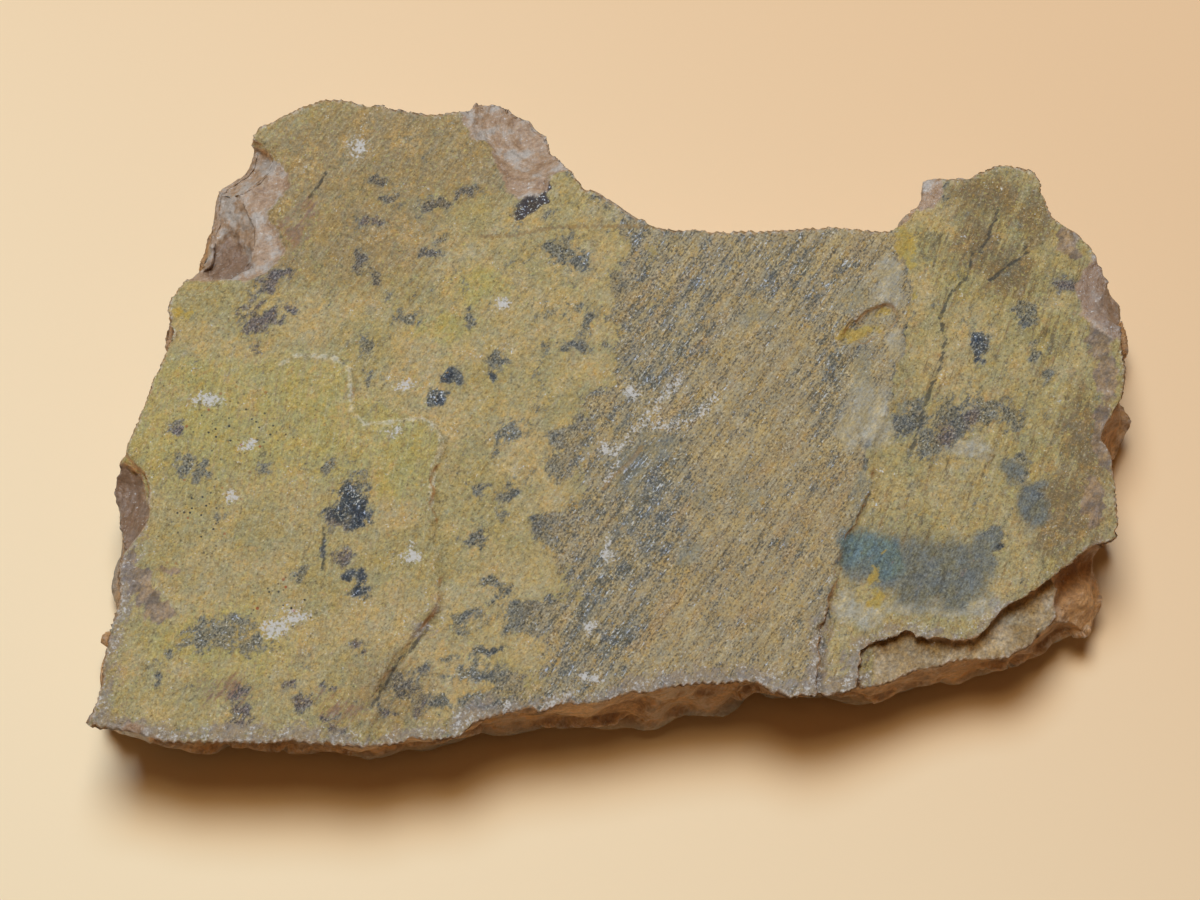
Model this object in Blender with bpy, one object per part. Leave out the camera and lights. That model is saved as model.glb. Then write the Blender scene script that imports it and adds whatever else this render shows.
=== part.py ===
"""One broken slab of chalcedony: a flat, patinated, slickensided face above, conchoidal broken
walls all round, and low botryoidal mounds below, the lowest of them worn flat where it rests.

Lengths are in millimetres and are turned into metres as each mesh is made. +X runs along the
slab, +Z is its thickness, and the origin is on the resting plane under the middle of the slab.
"""
import math
import random

import bmesh
import bpy
from mathutils import Euler, Vector

MM = 0.001

# Levels, measured up from the resting plane
FACE = 15.0
LAMINA_RISE = 0.8
RIGHT_BLOCK_DROP = 1.0
WAIST = 9.5
FOOT = 5.2
UNDERSIDE = 4.2
UNDERSIDE_INSET = 0.965
WAIST_SHARE = 0.6
CUTTER_TOP = FACE + 12.0

# The rim of the upper face, side by side and clockwise from above. Each side has the way its
# foot leans out (or in, under an overhang) from the rim above it.
SIDES = [
    ((-1.8, 2.4), [(-59.8, -37.2)]),
    ((-3.2, 0.0), [(-58.0, -31.0), (-57.0, -25.5), (-57.0, -17.0)]),
    ((-1.5, 0.0), [(-58.5, -11.5), (-59.0, -8.5), (-57.5, -6.0), (-55.0, 1.5)]),
    ((-1.2, 0.3), [(-52.5, 9.0), (-53.5, 12.5), (-52.0, 17.0), (-50.0, 20.0), (-49.0, 25.0)]),
    ((-0.8, 0.6), [(-47.0, 30.0), (-44.5, 32.5), (-45.0, 34.5), (-43.0, 36.5)]),
    ((0.0, 0.0), [(-37.0, 39.5), (-35.0, 40.2), (-28.5, 39.5), (-21.5, 38.5), (-19.0, 40.0)]),
    ((0.4, -0.2), [(-15.5, 40.2), (-12.5, 38.5), (-8.0, 36.5), (-7.5, 34.0)]),
    ((0.6, 0.8), [(-6.5, 32.0), (-3.5, 28.5), (2.0, 25.5), (5.5, 23.5)]),
    ((0.0, 0.9), [(14.5, 23.0), (27.5, 23.2), (32.0, 23.0)]),
    ((-0.6, 0.8), [(35.0, 25.0), (36.0, 27.0), (36.0, 29.5)]),
    ((0.0, 0.8), [(38.0, 30.2), (44.0, 30.5), (46.5, 32.0), (49.0, 30.8)]),
    ((3.0, 0.6), [(50.5, 28.0), (51.5, 24.5), (54.4, 21.0), (57.0, 17.8)]),
    ((2.6, 0.0), [(59.0, 14.0), (58.6, 7.5), (59.0, 2.5), (56.8, -1.0), (56.8, -5.0)]),
    ((2.4, -0.8), [(57.5, -11.0), (57.0, -14.8)]),
    ((3.8, -3.4), [(53.0, -18.0), (50.8, -21.5)]),
    ((1.2, -0.4), [(50.0, -24.0), (47.0, -28.0)]),
    ((0.0, 0.8), [(45.5, -29.2), (41.5, -29.4), (38.5, -30.2), (33.0, -31.7), (29.5, -33.2)]),
    ((0.0, 3.4), [(25.0, -35.0), (19.5, -35.0), (15.0, -34.2)]),
    ((0.0, -0.9), [(13.0, -33.0), (7.0, -33.4), (-2.0, -34.4), (-10.0, -35.0), (-14.5, -35.5)]),
    ((0.0, 1.2), [(-16.5, -37.3), (-22.5, -38.6), (-28.5, -39.8), (-38.0, -39.2)]),
    ((-0.4, 1.4), [(-47.0, -39.2), (-52.0, -38.9), (-56.0, -38.0)]),
]

# Inner edges on the upper face
LAMINA_EDGE = [(-60.0, 8.5), (-44.0, 7.8), (-31.8, 6.1), (-30.8, 3.8), (-30.3, -2.0), (-25.0, -2.0),
               (-22.8, -0.8), (-20.3, -3.0), (-21.6, -7.5), (-20.7, -18.0), (-20.6, -24.0),
               (-23.7, -29.5), (-26.5, -32.4), (-29.0, -45.0)]
SEAM = [(32.6, 27.0), (34.6, 16.0), (32.2, 2.6), (28.6, -5.5), (29.2, -9.5), (25.0, -18.0),
        (23.0, -28.0), (22.0, -42.0)]
SHEET_EDGE = [(25.5, -42.0), (27.8, -28.3), (32.4, -27.1), (36.9, -28.0), (40.3, -27.7),
              (45.7, -23.2), (50.4, -19.8), (54.2, -16.6), (58.0, -16.0), (70.0, -24.0)]
OCHRE_PIT = [(25.9, 8.7), (27.2, 10.8), (29.6, 12.7), (32.3, 13.4), (32.6, 11.3), (29.0, 8.9)]
LAMINA_FADE_START = -8.0
LAMINA_FADE_END = 8.5
SEAM_TOP = 22.0
SEAM_FOOT = -30.0
SHEET_THICKNESS = 1.1
TERRACE_START = 27.0
TERRACE_END = 50.0
TERRACE_FALL = 1.7
OCHRE_PIT_DEPTH = 0.9

# Shell-shaped chips broken from the edges: centre, half widths and turn about Z in degrees
# Most are cut from above, so that they bevel the rim and leave the foot whole.
CHIPS = [
    ((-50.5, 22.5, 17.0), (7.5, 9.0, 4.6), -20.0),
    ((-46.5, 31.5, 17.2), (5.5, 4.5, 4.4), 30.0),
    ((-11.0, 38.0, 18.6), (8.5, 10.5, 5.8), 10.0),
    ((-20.0, 41.5, 16.5), (4.0, 3.0, 4.0), 0.0),
    ((-60.2, -11.5, 19.0), (7.0, 8.0, 7.0), 0.0),
    ((-55.5, -40.5, 17.4), (5.5, 3.0, 4.0), 8.0),
    ((-15.2, -38.2, 14.5), (2.4, 2.6, 4.0), 0.0),
    ((14.2, -35.4, 16.0), (4.6, 2.6, 3.0), 0.0),
    ((36.6, 31.6, 18.2), (4.2, 3.6, 4.4), 20.0),
    ((53.8, 27.5, 14.0), (2.6, 7.0, 6.0), 24.0),
    ((61.4, 14.0, 18.4), (5.2, 5.6, 6.0), 0.0),
    ((60.8, -3.2, 13.0), (4.4, 4.2, 6.0), 0.0),
    ((46.0, -25.6, 14.0), (3.6, 2.6, 2.6), 35.0),
    ((38.0, -17.5, 33.9), (15.0, 8.5, 20.0), -8.0),
]

# Spalls that break up the walls: bites of round cutters set along the rim
SPALL_COUNT = 64
SPALL_RADIUS = (3.5, 9.0)
SPALL_BITE = (0.4, 1.2)
SPALL_HEIGHT = (1.0, 11.5)
SPALL_SEED = 11
WAIST_WANDER = 0.8
WAIST_SEED = 5

# Botryoidal mounds of the underside, on a staggered grid
MOUND_SPACING = 8.6
MOUND_RADIUS = (4.8, 6.9)
MOUND_JITTER = 1.5
MOUND_OVERHANG = 3.0
MOUND_BOTTOM = (0.5, 1.7)
MOUND_SEED = 4
GROWTH_TOP = 7.0
GROWTH_BOTTOM = -3.0
GROWTH_INSET = 0.98
REST_SPOTS = [(-40.0, -26.0), (-36.0, 24.0), (34.0, 12.0), (30.0, -20.0), (-4.0, -8.0)]
REST_MOUND_RADIUS = 8.0
REST_WEAR = 0.7
# Lumps of the same growth that show along the foot of the front wall: middle and radius
FRONT_LUMPS = [((-48.0, -34.4, 5.6), 4.2), ((-36.5, -33.6, 5.4), 4.8), ((-28.0, -34.2, 5.2), 4.8),
               ((3.6, -31.4, 5.0), 4.0), ((30.8, -27.2, 5.4), 4.2), ((38.6, -26.2, 5.2), 3.8),
               ((53.0, -20.2, 5.6), 3.4)]

# Surface grain and facets
VOXEL = 0.5
WALL_GRAIN_SIZE = 4.5
WALL_GRAIN_DEPTH = 1.3
TRIANGLES_KEPT = 0.045


def remove_everything():
    for item in list(bpy.data.objects):
        bpy.data.objects.remove(item, do_unlink=True)


def stone_material():
    material = bpy.data.materials.new("patinated chalcedony")
    material.use_nodes = True
    shader = material.node_tree.nodes["Principled BSDF"]
    shader.inputs["Base Color"].default_value = (0.36, 0.29, 0.14, 1.0)
    shader.inputs["Roughness"].default_value = 0.6
    shader.inputs["Metallic"].default_value = 0.0
    return material


def add_object(name, bm):
    """Turn a bmesh in millimetres into an object in metres."""
    bmesh.ops.recalc_face_normals(bm, faces=bm.faces)
    bmesh.ops.scale(bm, vec=(MM, MM, MM), verts=bm.verts)
    mesh = bpy.data.meshes.new(name)
    bm.to_mesh(mesh)
    bm.free()
    item = bpy.data.objects.new(name, mesh)
    bpy.context.scene.collection.objects.link(item)
    return item


def add_ring(bm, points):
    return [bm.verts.new(point) for point in points]


def bridge_rings(bm, upper, lower):
    for index, vert in enumerate(upper):
        following = (index + 1) % len(upper)
        bm.faces.new((vert, upper[following], lower[following], lower[index]))


def rim_points():
    return [point for lean, points in SIDES for point in points]


def leaning_ring(height, share, size=1.0):
    """The rim's outline moved by a share of each side's lean, at the given height."""
    ring = []
    for (lean_x, lean_y), points in SIDES:
        for x, y in points:
            ring.append(((x + share * lean_x) * size, (y + share * lean_y) * size, height))
    return ring


def wandering_ring(height, share, size=1.0):
    """A leaning ring whose points stray in and out, as a broken wall does."""
    chance = random.Random(WAIST_SEED)
    ring = []
    for x, y, z in leaning_ring(height, share, size):
        stray_x = chance.uniform(-WAIST_WANDER, WAIST_WANDER)
        stray_y = chance.uniform(-WAIST_WANDER, WAIST_WANDER)
        ring.append((x + stray_x, y + stray_y, z))
    return ring


def slab_blank(bm):
    """The slab before anything is broken from it."""
    rings = [
        add_ring(bm, leaning_ring(FACE + LAMINA_RISE, 0.0)),
        add_ring(bm, wandering_ring(WAIST, WAIST_SHARE)),
        add_ring(bm, leaning_ring(FOOT, 1.0)),
        add_ring(bm, leaning_ring(UNDERSIDE, 1.0, UNDERSIDE_INSET)),
    ]
    for upper, lower in zip(rings, rings[1:]):
        bridge_rings(bm, upper, lower)
    bm.faces.new(rings[0])
    bm.faces.new(rings[-1])


def inside_rim(x, y):
    """Whether a point lies inside the rim's outline, by crossings to its right."""
    rim = rim_points()
    inside = False
    for (x0, y0), (x1, y1) in zip(rim, rim[1:] + rim[:1]):
        if (y0 > y) != (y1 > y) and x < x0 + (y - y0) * (x1 - x0) / (y1 - y0):
            inside = not inside
    return inside


def rim_distance(x, y):
    """How far a point is from the rim's outline."""
    point = Vector((x, y))
    rim = [Vector(corner) for corner in rim_points()]
    nearest = math.inf
    for start, end in zip(rim, rim[1:] + rim[:1]):
        along = (point - start).dot(end - start) / (end - start).length_squared
        foot = start.lerp(end, min(max(along, 0.0), 1.0))
        nearest = min(nearest, (point - foot).length)
    return nearest


def add_ellipsoid(bm, centre, half_widths, turn=0.0, finish=3):
    made = bmesh.ops.create_icosphere(bm, subdivisions=finish, radius=1.0)
    bmesh.ops.scale(bm, vec=half_widths, verts=made["verts"])
    rotation = Euler((0.0, 0.0, math.radians(turn))).to_matrix()
    bmesh.ops.rotate(bm, matrix=rotation, verts=made["verts"])
    bmesh.ops.translate(bm, vec=centre, verts=made["verts"])


def add_mounds(bm):
    """Round growths that cover the underside; those at the rest spots reach the lowest."""
    chance = random.Random(MOUND_SEED)
    for x, y in REST_SPOTS:
        centre = (x, y, REST_MOUND_RADIUS - REST_WEAR)
        add_ellipsoid(bm, centre, (REST_MOUND_RADIUS,) * 3)
    columns = range(-7, 8)
    rows = range(-5, 6)
    for row in rows:
        for column in columns:
            x = (column + 0.5 * (row % 2)) * MOUND_SPACING + chance.uniform(-1, 1) * MOUND_JITTER
            y = row * MOUND_SPACING * math.sqrt(0.75) + chance.uniform(-1, 1) * MOUND_JITTER
            radius = chance.uniform(*MOUND_RADIUS)
            bottom = chance.uniform(*MOUND_BOTTOM)
            if inside_rim(x, y) or rim_distance(x, y) < MOUND_OVERHANG:
                add_ellipsoid(bm, (x, y, bottom + radius), (radius,) * 3)


def terrace_cutter(name, outline, floor):
    """A block over an outline, down to a floor whose height depends on the place."""
    bm = bmesh.new()
    upper = add_ring(bm, [(x, y, CUTTER_TOP) for x, y in outline])
    lower = add_ring(bm, [(x, y, floor(x, y)) for x, y in outline])
    bridge_rings(bm, upper, lower)
    bm.faces.new(upper)
    bm.faces.new(lower)
    return add_object(name, bm)


def ramp(value, start, end):
    return min(max((value - start) / (end - start), 0.0), 1.0)


def lamina_floor(x, y):
    return FACE + LAMINA_RISE * (1.0 - ramp(y, LAMINA_FADE_START, LAMINA_FADE_END) * 0.9)


def right_block_floor(x, y):
    return FACE - RIGHT_BLOCK_DROP * ramp(y, SEAM_TOP, SEAM_FOOT)


def sheet_terrace_floor(x, y):
    fall = SHEET_THICKNESS + TERRACE_FALL * ramp(x, TERRACE_START, TERRACE_END)
    return FACE - RIGHT_BLOCK_DROP - fall


def ledge_cutters():
    """The steps of the upper face: main face, lamina, right block, its terrace and its pit."""
    main_face = LAMINA_EDGE + [(70.0, -45.0), (70.0, 50.0), (-70.0, 50.0), (-70.0, 8.5)]
    lamina_top = [(-70.0, LAMINA_FADE_START), (-15.0, LAMINA_FADE_START),
                  (-15.0, LAMINA_FADE_END), (-70.0, LAMINA_FADE_END)]
    right_block = SEAM + [(70.0, -42.0), (70.0, 40.0), (32.6, 40.0)]
    terrace = SHEET_EDGE + [(70.0, -45.0), (25.5, -45.0)]
    pit_floor = FACE - OCHRE_PIT_DEPTH
    return [
        terrace_cutter("main_face_cutter", main_face, lambda x, y: FACE),
        terrace_cutter("lamina_fade_cutter", lamina_top, lamina_floor),
        terrace_cutter("right_block_cutter", right_block, right_block_floor),
        terrace_cutter("sheet_terrace_cutter", terrace, sheet_terrace_floor),
        terrace_cutter("ochre_pit_cutter", OCHRE_PIT, lambda x, y: pit_floor),
    ]


def chip_cutters():
    cutters = []
    for number, (centre, half_widths, turn) in enumerate(CHIPS):
        bm = bmesh.new()
        add_ellipsoid(bm, centre, half_widths, turn, finish=4)
        cutters.append(add_object(f"chip_cutter_{number}", bm))
    return cutters


def spall_cutters():
    """Round bites along the walls, each set back from the rim by less than its radius."""
    chance = random.Random(SPALL_SEED)
    rim = [Vector(point) for point in rim_points()]
    edges = list(zip(rim, rim[1:] + rim[:1]))
    lengths = [(end - start).length for start, end in edges]
    cutters = []
    for number in range(SPALL_COUNT):
        start, end = chance.choices(edges, weights=lengths)[0]
        place = start.lerp(end, chance.random())
        outward = Vector((start.y - end.y, end.x - start.x)).normalized()
        radius = chance.uniform(*SPALL_RADIUS)
        out = place + outward * (radius - chance.uniform(*SPALL_BITE))
        height = chance.uniform(*SPALL_HEIGHT)
        bm = bmesh.new()
        add_ellipsoid(bm, (out.x, out.y, height), (radius,) * 3)
        cutters.append(add_object(f"spall_cutter_{number}", bm))
    return cutters


def floor_cutter():
    bm = bmesh.new()
    bmesh.ops.create_cube(bm, size=1.0)
    bmesh.ops.scale(bm, vec=(200.0, 160.0, 20.0), verts=bm.verts)
    bmesh.ops.translate(bm, vec=(0.0, 0.0, -10.0), verts=bm.verts)
    return add_object("floor_cutter", bm)


def put_away(name, cutters):
    """Collect cutters in a collection of their own, drawn as wires and never as the stone."""
    collection = bpy.data.collections.new(name)
    bpy.context.scene.collection.children.link(collection)
    for cutter in cutters:
        bpy.context.scene.collection.objects.unlink(cutter)
        collection.objects.link(cutter)
        cutter.hide_render = True
        cutter.display_type = "WIRE"
    return collection


def add_boolean(stone, operation, others, name):
    modifier = stone.modifiers.new(name, "BOOLEAN")
    modifier.operation = operation
    modifier.solver = "EXACT"
    modifier.operand_type = "COLLECTION"
    modifier.collection = put_away(name, others)


def add_remesh(stone):
    modifier = stone.modifiers.new("fused", "REMESH")
    modifier.mode = "VOXEL"
    modifier.voxel_size = VOXEL * MM


def add_grain(stone, name, direction):
    """Stray the walls along one level direction, which leaves the upper face as flat as it is."""
    clouds = bpy.data.textures.new(name, "CLOUDS")
    clouds.noise_scale = WALL_GRAIN_SIZE * MM
    clouds.noise_depth = 2
    modifier = stone.modifiers.new(name, "DISPLACE")
    modifier.texture = clouds
    modifier.direction = direction
    modifier.strength = WALL_GRAIN_DEPTH * MM
    modifier.mid_level = 0.5
    modifier.texture_coords = "LOCAL"


def broken_growths():
    """The mounds, broken off in line with the foot of the walls."""
    bm = bmesh.new()
    add_mounds(bm)
    growths = add_object("growths", bm)
    add_remesh(growths)
    bm = bmesh.new()
    upper = add_ring(bm, leaning_ring(GROWTH_TOP, 1.0, GROWTH_INSET))
    lower = add_ring(bm, wandering_ring(GROWTH_BOTTOM, 1.0, GROWTH_INSET))
    bridge_rings(bm, upper, lower)
    bm.faces.new(upper)
    bm.faces.new(lower)
    add_boolean(growths, "INTERSECT", [add_object("growth_outline", bm)], "broken off")
    return growths


def front_lumps():
    """Lumps of the same growth that stand out of the foot of the walls."""
    lumps = []
    for number, (centre, radius) in enumerate(FRONT_LUMPS):
        bm = bmesh.new()
        add_ellipsoid(bm, centre, (radius,) * 3)
        lumps.append(add_object(f"front_lump_{number}", bm))
    return lumps


def chalcedony_slab(material):
    bm = bmesh.new()
    slab_blank(bm)
    stone = add_object("chalcedony_slab", bm)
    stone.data.materials.append(material)
    add_boolean(stone, "DIFFERENCE", spall_cutters() + ledge_cutters() + chip_cutters(), "breaks")
    add_boolean(stone, "UNION", [broken_growths()] + front_lumps(), "growth")
    return stone


def finish_surface(stone):
    add_remesh(stone)
    add_grain(stone, "wall grain across", "X")
    add_grain(stone, "wall grain along", "Y")
    thin = stone.modifiers.new("facets", "DECIMATE")
    thin.ratio = TRIANGLES_KEPT
    thin.use_collapse_triangulate = True
    add_boolean(stone, "DIFFERENCE", [floor_cutter()], "worn flat")


def main():
    remove_everything()
    finish_surface(chalcedony_slab(stone_material()))


main()
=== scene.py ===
"""The looks of a broken slab of patinated chalcedony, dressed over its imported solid.

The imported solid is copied, meshed finely along the slickenlines, and carved: shell-shaped chips,
scalloped breaks on the walls, small round growths below, slickenlines and thin flakes on the
face. Named spots on the face then say where each kind of patina lies, and one procedural
material paints them. Lengths are in millimetres unless a name says otherwise.
"""
import math

import bpy
import numpy as np
from mathutils import Matrix, Vector, kdtree


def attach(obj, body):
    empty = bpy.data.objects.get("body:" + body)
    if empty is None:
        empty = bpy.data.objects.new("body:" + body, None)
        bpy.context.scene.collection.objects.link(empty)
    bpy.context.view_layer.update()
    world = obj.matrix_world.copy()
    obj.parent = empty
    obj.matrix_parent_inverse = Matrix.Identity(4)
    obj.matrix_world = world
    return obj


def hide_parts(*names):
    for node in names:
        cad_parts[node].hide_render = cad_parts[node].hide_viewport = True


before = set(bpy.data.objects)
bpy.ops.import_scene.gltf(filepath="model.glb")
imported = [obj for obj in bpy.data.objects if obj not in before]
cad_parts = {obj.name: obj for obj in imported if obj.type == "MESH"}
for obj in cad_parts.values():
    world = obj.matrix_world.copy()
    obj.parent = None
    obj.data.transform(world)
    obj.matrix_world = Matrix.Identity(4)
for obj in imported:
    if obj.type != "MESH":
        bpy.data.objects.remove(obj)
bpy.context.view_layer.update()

MM = 0.001
NODE = "chalcedony_slab"

# Mesh: cell size and its stretch along the slickenlines, the share of the faces that is taken out
# where no slickenlines run, the area that a point stands for there, and the rounds of evening out
CELL = 0.24
STRETCH = 2.4
THINNED_OUT_OF_SIGHT = 0.5
AREA_OF_A_POINT = 0.16
RELAX_ROUNDS = 14

# Directions of the slickenlines, in degrees from +x, on the film, the raised lamina and the right
STRIA_ANGLE = 55.0
LAMINA_STRIA_ANGLE = 84.0
RIGHT_STRIA_ANGLE = 70.0

# Levels between which the face lies
FACE_LOWEST = 11.4
FACE_HIGHEST = 16.15

# Lines on the face, as (x, y) from its front edge to its back edge
LAMINA_EDGE = [(-28.9, -42), (-25.4, -30.7), (-20.6, -24), (-20.7, -16), (-21.6, -8), (-20.3, -3.5),
    (-23, -1), (-30.5, 2), (-31.5, 6), (-44, 8), (-44, 45)]
FILM_EDGE = [(-11.2, -40), (-7.5, -30), (-4, -20), (-4.5, -11), (-2.5, -2.5), (0.8, 6), (3, 13),
    (3.5, 26)]
SEAM = [(22, -40), (23, -28), (25, -18), (28.9, -10), (28.6, -5.5), (31, 0), (33.4, 8), (34.6, 16),
    (32.6, 26)]
CRACK = [(-16.5, 22.1), (-12.2, 22.3), (-7.5, 23.4), (-2, 23.5), (5.6, 23.5)]
# The lamina's foot is both a groove and a painted shadow under the lamina's ledge
LAMINA_FOOT = [(-21.5, -26), (-23.2, -28.4), (-25, -30.4), (-26.6, -33.4), (-28, -36)]
GOUGE = [(-1.7, -9.5), (-0.8, -8), (0.3, -7.3), (1.7, -5.8), (2.6, -4.4)]
STEM_LINE = [(-33.8, -14.6), (-33.8, -19.6)]
SCRATCH = [(-36.7, 27.2), (-35, 30.2)]
DARK_LINES = [[(45.2, 25.4), (44.5, 23.9), (43.9, 22.1), (42.7, 20.1)], [(41.9, 20.3), (41.1, 17.1),
    (39.1, 14.8), (37.8, 12), (38.4, 9.5), (37.7, 6), (36.2, 2.6), (34.8, -2), (33.4, -6)],
    [(48.1, 21.4), (48.3, 20.1), (45.7, 18.3), (43.9, 16.6)], LAMINA_FOOT]
SHADE_LINES = DARK_LINES + [STEM_LINE, SCRATCH]
PALE_VEINS = [[(-1.5, -8.9), (0, -5.2), (2.7, -1.4), (4.4, 0.5), (7.1, 4.3)], [(2.7, -1.4),
    (5.8, -1.7), (8.6, -1), (11.3, 1.4)]]
LAMINA_LIP = [(-39.6, 5.6), (-37.5, 6.9), (-33.4, 6.7), (-31.5, 5.2), (-31.2, 2.6), (-31, -0.4),
    (-29.4, -1.8), (-26, -1.4), (-23, -0.9), (-21.2, -2.2), (-20.4, -4.4), (-21.4, -7),
    (-21.7, -12)]

# Grooves in the face, and one ridge: (lines, height, width)
GROOVES = [([CRACK], -0.14, 0.3), ([GOUGE], -0.2, 0.6), ([LAMINA_FOOT], -0.35, 0.8),
    (DARK_LINES[:3], -0.1, 0.6), ([LAMINA_LIP], 0.15, 0.7)]

# How far the front rim overhangs the wall below it, as (x, overhang)
FRONT_LIP = [(-61.5, 0.8), (-53.7, 1.3), (-45, 0.9), (-36.5, 1.1), (-30, 0.9), (-23.5, 1.35),
    (-17, 1.75), (-8, 1.35), (2.4, 0.5), (8, 0)]

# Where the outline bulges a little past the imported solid, as (x, y, reach, push x, push y)
BULGES = [(-13, 39, 7, 0.3, 1.3), (-45, 27.5, 7, -1.1, 0.2), (53, 19.5, 7, 1.4, 0.5),
    (44.8, 31, 3, 0, 0.8), (-60, -27.5, 7, -1, 0)]

# Broken areas of the face, as outlines
TOP_CHIP = [(-19.3, 39), (-16.1, 41), (-9.3, 41), (-4.5, 36), (-5.8, 31), (-8.1, 30.3),
    (-8.8, 27.9), (-10, 27.5), (-12, 27), (-13.5, 28.5), (-14.6, 31.8), (-15.6, 35), (-17.6, 34.9)]
LEFT_CHIP = [(-43.4, 34.5), (-41.6, 32.6), (-39.4, 30.6), (-39, 28.8), (-40.3, 27), (-41.6, 25.4),
    (-41.3, 23.8), (-40.2, 22.8), (-39.4, 20.6), (-41.3, 17.6), (-44.1, 16.5), (-48, 17),
    (-53, 17.6), (-54, 26), (-47, 35)]
LEFT_STEP = [(-47, 24.6), (-43.5, 20), (-42.8, 18.4), (-46.5, 17), (-49.5, 18.6), (-49, 21.5)]
WEST_SCOOP = [(-63, -7.5), (-57.5, -6.3), (-55.4, -7.5), (-54.7, -10.3), (-53.8, -13),
    (-54.9, -15.3), (-57, -18.2), (-63, -17)]
EAST_SCOOP = [(63, 21), (56.5, 20), (53.8, 16.2), (54.6, 12), (57.6, 9.6), (63, 9)]
CORNER_CHIP = [(-57.5, -38.2), (-55, -37.6), (-53, -38.2), (-52.4, -44), (-58, -44)]
HORN_CHIP = [(35, 31), (38.6, 30.6), (38.8, 27.6), (37.4, 25.8), (36, 25.4), (34, 28)]
FRESH_BREAKS = [TOP_CHIP, LEFT_CHIP, WEST_SCOOP, EAST_SCOOP, CORNER_CHIP, HORN_CHIP]
# Breaks whose sunk faces are darkened, partly their own brown and partly painted shade, and how
# strongly
DEEP_BREAKS = [(LEFT_STEP, 1), (WEST_SCOOP, 1), (EAST_SCOOP, 0.7)]

# Where the blows fell on the breaks, and how far their ripples reach
RIPPLES = [((-9.2, 37.5, 15), 12), ((-41, 30.2, 15), 4.5), ((-51.5, 27, 15), 9), ((-61, -9, 12), 9),
    ((28, -14.8, 14.6), 3.2), ((60, 16, 12), 8)]
RIPPLE_LENGTH = 0.9
RIPPLE_DEPTH = 0.055

# Scoops on the walls from coarse to fine, and the growths below: (spacing, depth, seed)
WALL_SCOOPS = [(6.5, 0.6, 4), (2.8, 0.5, 5)]
FINE_SCOOPS = (1.3, 0.16, 6)
GROWTHS = (2.3, 0.34, 7)

# Small bites round the rim: (count, least and most radius, least and most depth, seed)
RIM_BITES = (300, (0.4, 1.3), (0.06, 0.32), 17)

# How far in from the rim its grey crust reaches
RIM_REACH = 3.6

# Spots on the face: (x, y, half width, half depth)
SLATE = [(-27.1, 26.7, 1.3, 0.8), (-21.1, 26.4, 1.7, 0.7), (-18, 27.8, 1.2, 0.4),
    (-30.7, 18.8, 0.7, 1), (-28.6, 17.2, 0.7, 0.9), (-22.5, 19.8, 1.2, 0.5), (-29, 29.4, 1.6, 0.7),
    (-7.4, 20.2, 1.2, 1), (-29.4, 8.3, 0.9, 1.1), (-29.5, 4.3, 0.6, 1.2), (-50.2, -7.1, 1, 1.1),
    (-48.8, -8.2, 1, 0.7), (-47.6, -7.3, 0.7, 0.8), (-40.7, -7.3, 0.9, 0.7),
    (-36.8, -7.3, 0.9, 0.8), (-33.5, -7.2, 0.6, 1.2), (-46, -13, 0.6, 0.9), (-25.1, 11.6, 1.3, 0.7),
    (-17.6, 11.3, 0.6, 0.8), (-19.5, 4.3, 1.1, 0.8), (-21.7, 1.7, 0.8, 1.1), (-14.4, 6.6, 0.9, 0.8),
    (-5.5, 8.1, 1.3, 0.6), (-3.4, 10.9, 0.6, 0.9), (-0.6, 12.3, 0.9, 0.7), (-12.8, -2.7, 1.3, 0.8),
    (-2.6, 1.4, 0.9, 0.7), (-6.4, -2.8, 1.4, 0.5), (-5.7, -3.5, 0.9, 0.6), (-7.3, -6.8, 1, 0.7),
    (-6.8, -8.1, 0.9, 0.7), (-9.3, -12.5, 0.9, 0.8), (-13.2, -12.7, 0.7, 0.8),
    (-33.8, -17.2, 0.3, 1.7), (-36.7, -19.8, 0.8, 0.7), (-47.5, -25.2, 1.1, 0.8),
    (-43.8, -25, 0.9, 0.7), (-48.8, -28.2, 1.3, 0.6), (-50.6, -29.9, 0.8, 0.8),
    (-52.2, -32.3, 0.7, 0.8), (-49.3, -33.5, 1.6, 0.3), (-8.6, -14, 1.2, 1.4),
    (-5.5, -14.3, 1.3, 0.7), (-14.6, -20.9, 1, 0.8), (-4.6, -17.8, 1.1, 1.9), (-4.3, -19.9, 1.4, 1),
    (-15.3, -25.1, 1.2, 0.7), (-18.1, -26.5, 0.9, 0.8), (-17, -31.9, 2, 0.8),
    (-13.7, -31.9, 1.8, 0.9), (-19.9, -29.8, 1.2, 0.6), (-22.1, -31.2, 1.3, 0.5),
    (-14.8, -29, 1.3, 0.4), (-6.6, -24.4, 1.8, 1), (47.6, 12.3, 0.9, 1.2), (42.4, 8.5, 0.9, 0.8),
    (48.8, 7.5, 0.9, 0.8), (50, 5, 0.7, 0.8), (32.2, -1.8, 0.8, 0.8), (45.7, 0.1, 1.2, 1.5),
    (46.5, -1.5, 0.6, 0.8), (45.9, -6.2, 1.2, 0.9), (46.6, -7.5, 0.5, 1), (34.2, -0.6, 1.8, 2.4),
    (38.6, -1.2, 2.4, 2), (43, 0, 2.2, 1.6), (36, -4, 1, 1.8), (-45.6, -27.6, 4.2, 2.2),
    (-42, -28.6, 2.4, 1.2), (-6, -16.6, 1.8, 2.2), (-9.5, -24.8, 3.4, 1.3),
    (-16.6, -15.6, 1.4, 0.9), (-17.4, -24.8, 2.2, 1.1), (-20.4, -26.4, 1, 0.7),
    (-12.5, -22, 1.6, 0.8), (-16.4, -9.6, 0.9, 0.7), (-12.6, -10.2, 1, 0.8), (-14, -5.2, 0.8, 1),
    (-24.4, -33.4, 1.8, 1.4), (-20.6, -34.8, 1.4, 0.8), (0.2, 14.6, 1.6, 2.2), (-4.5, 19.3, 1.2, 1),
    (-16.5, -34.6, 1.8, 0.9)]
RUSTY = [(-38.6, 22.4, 2.2, 1.8), (-37, 25.4, 1.3, 2), (-44.6, -33.8, 3, 1.4), (-31, -36, 3, 1.6)]
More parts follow.
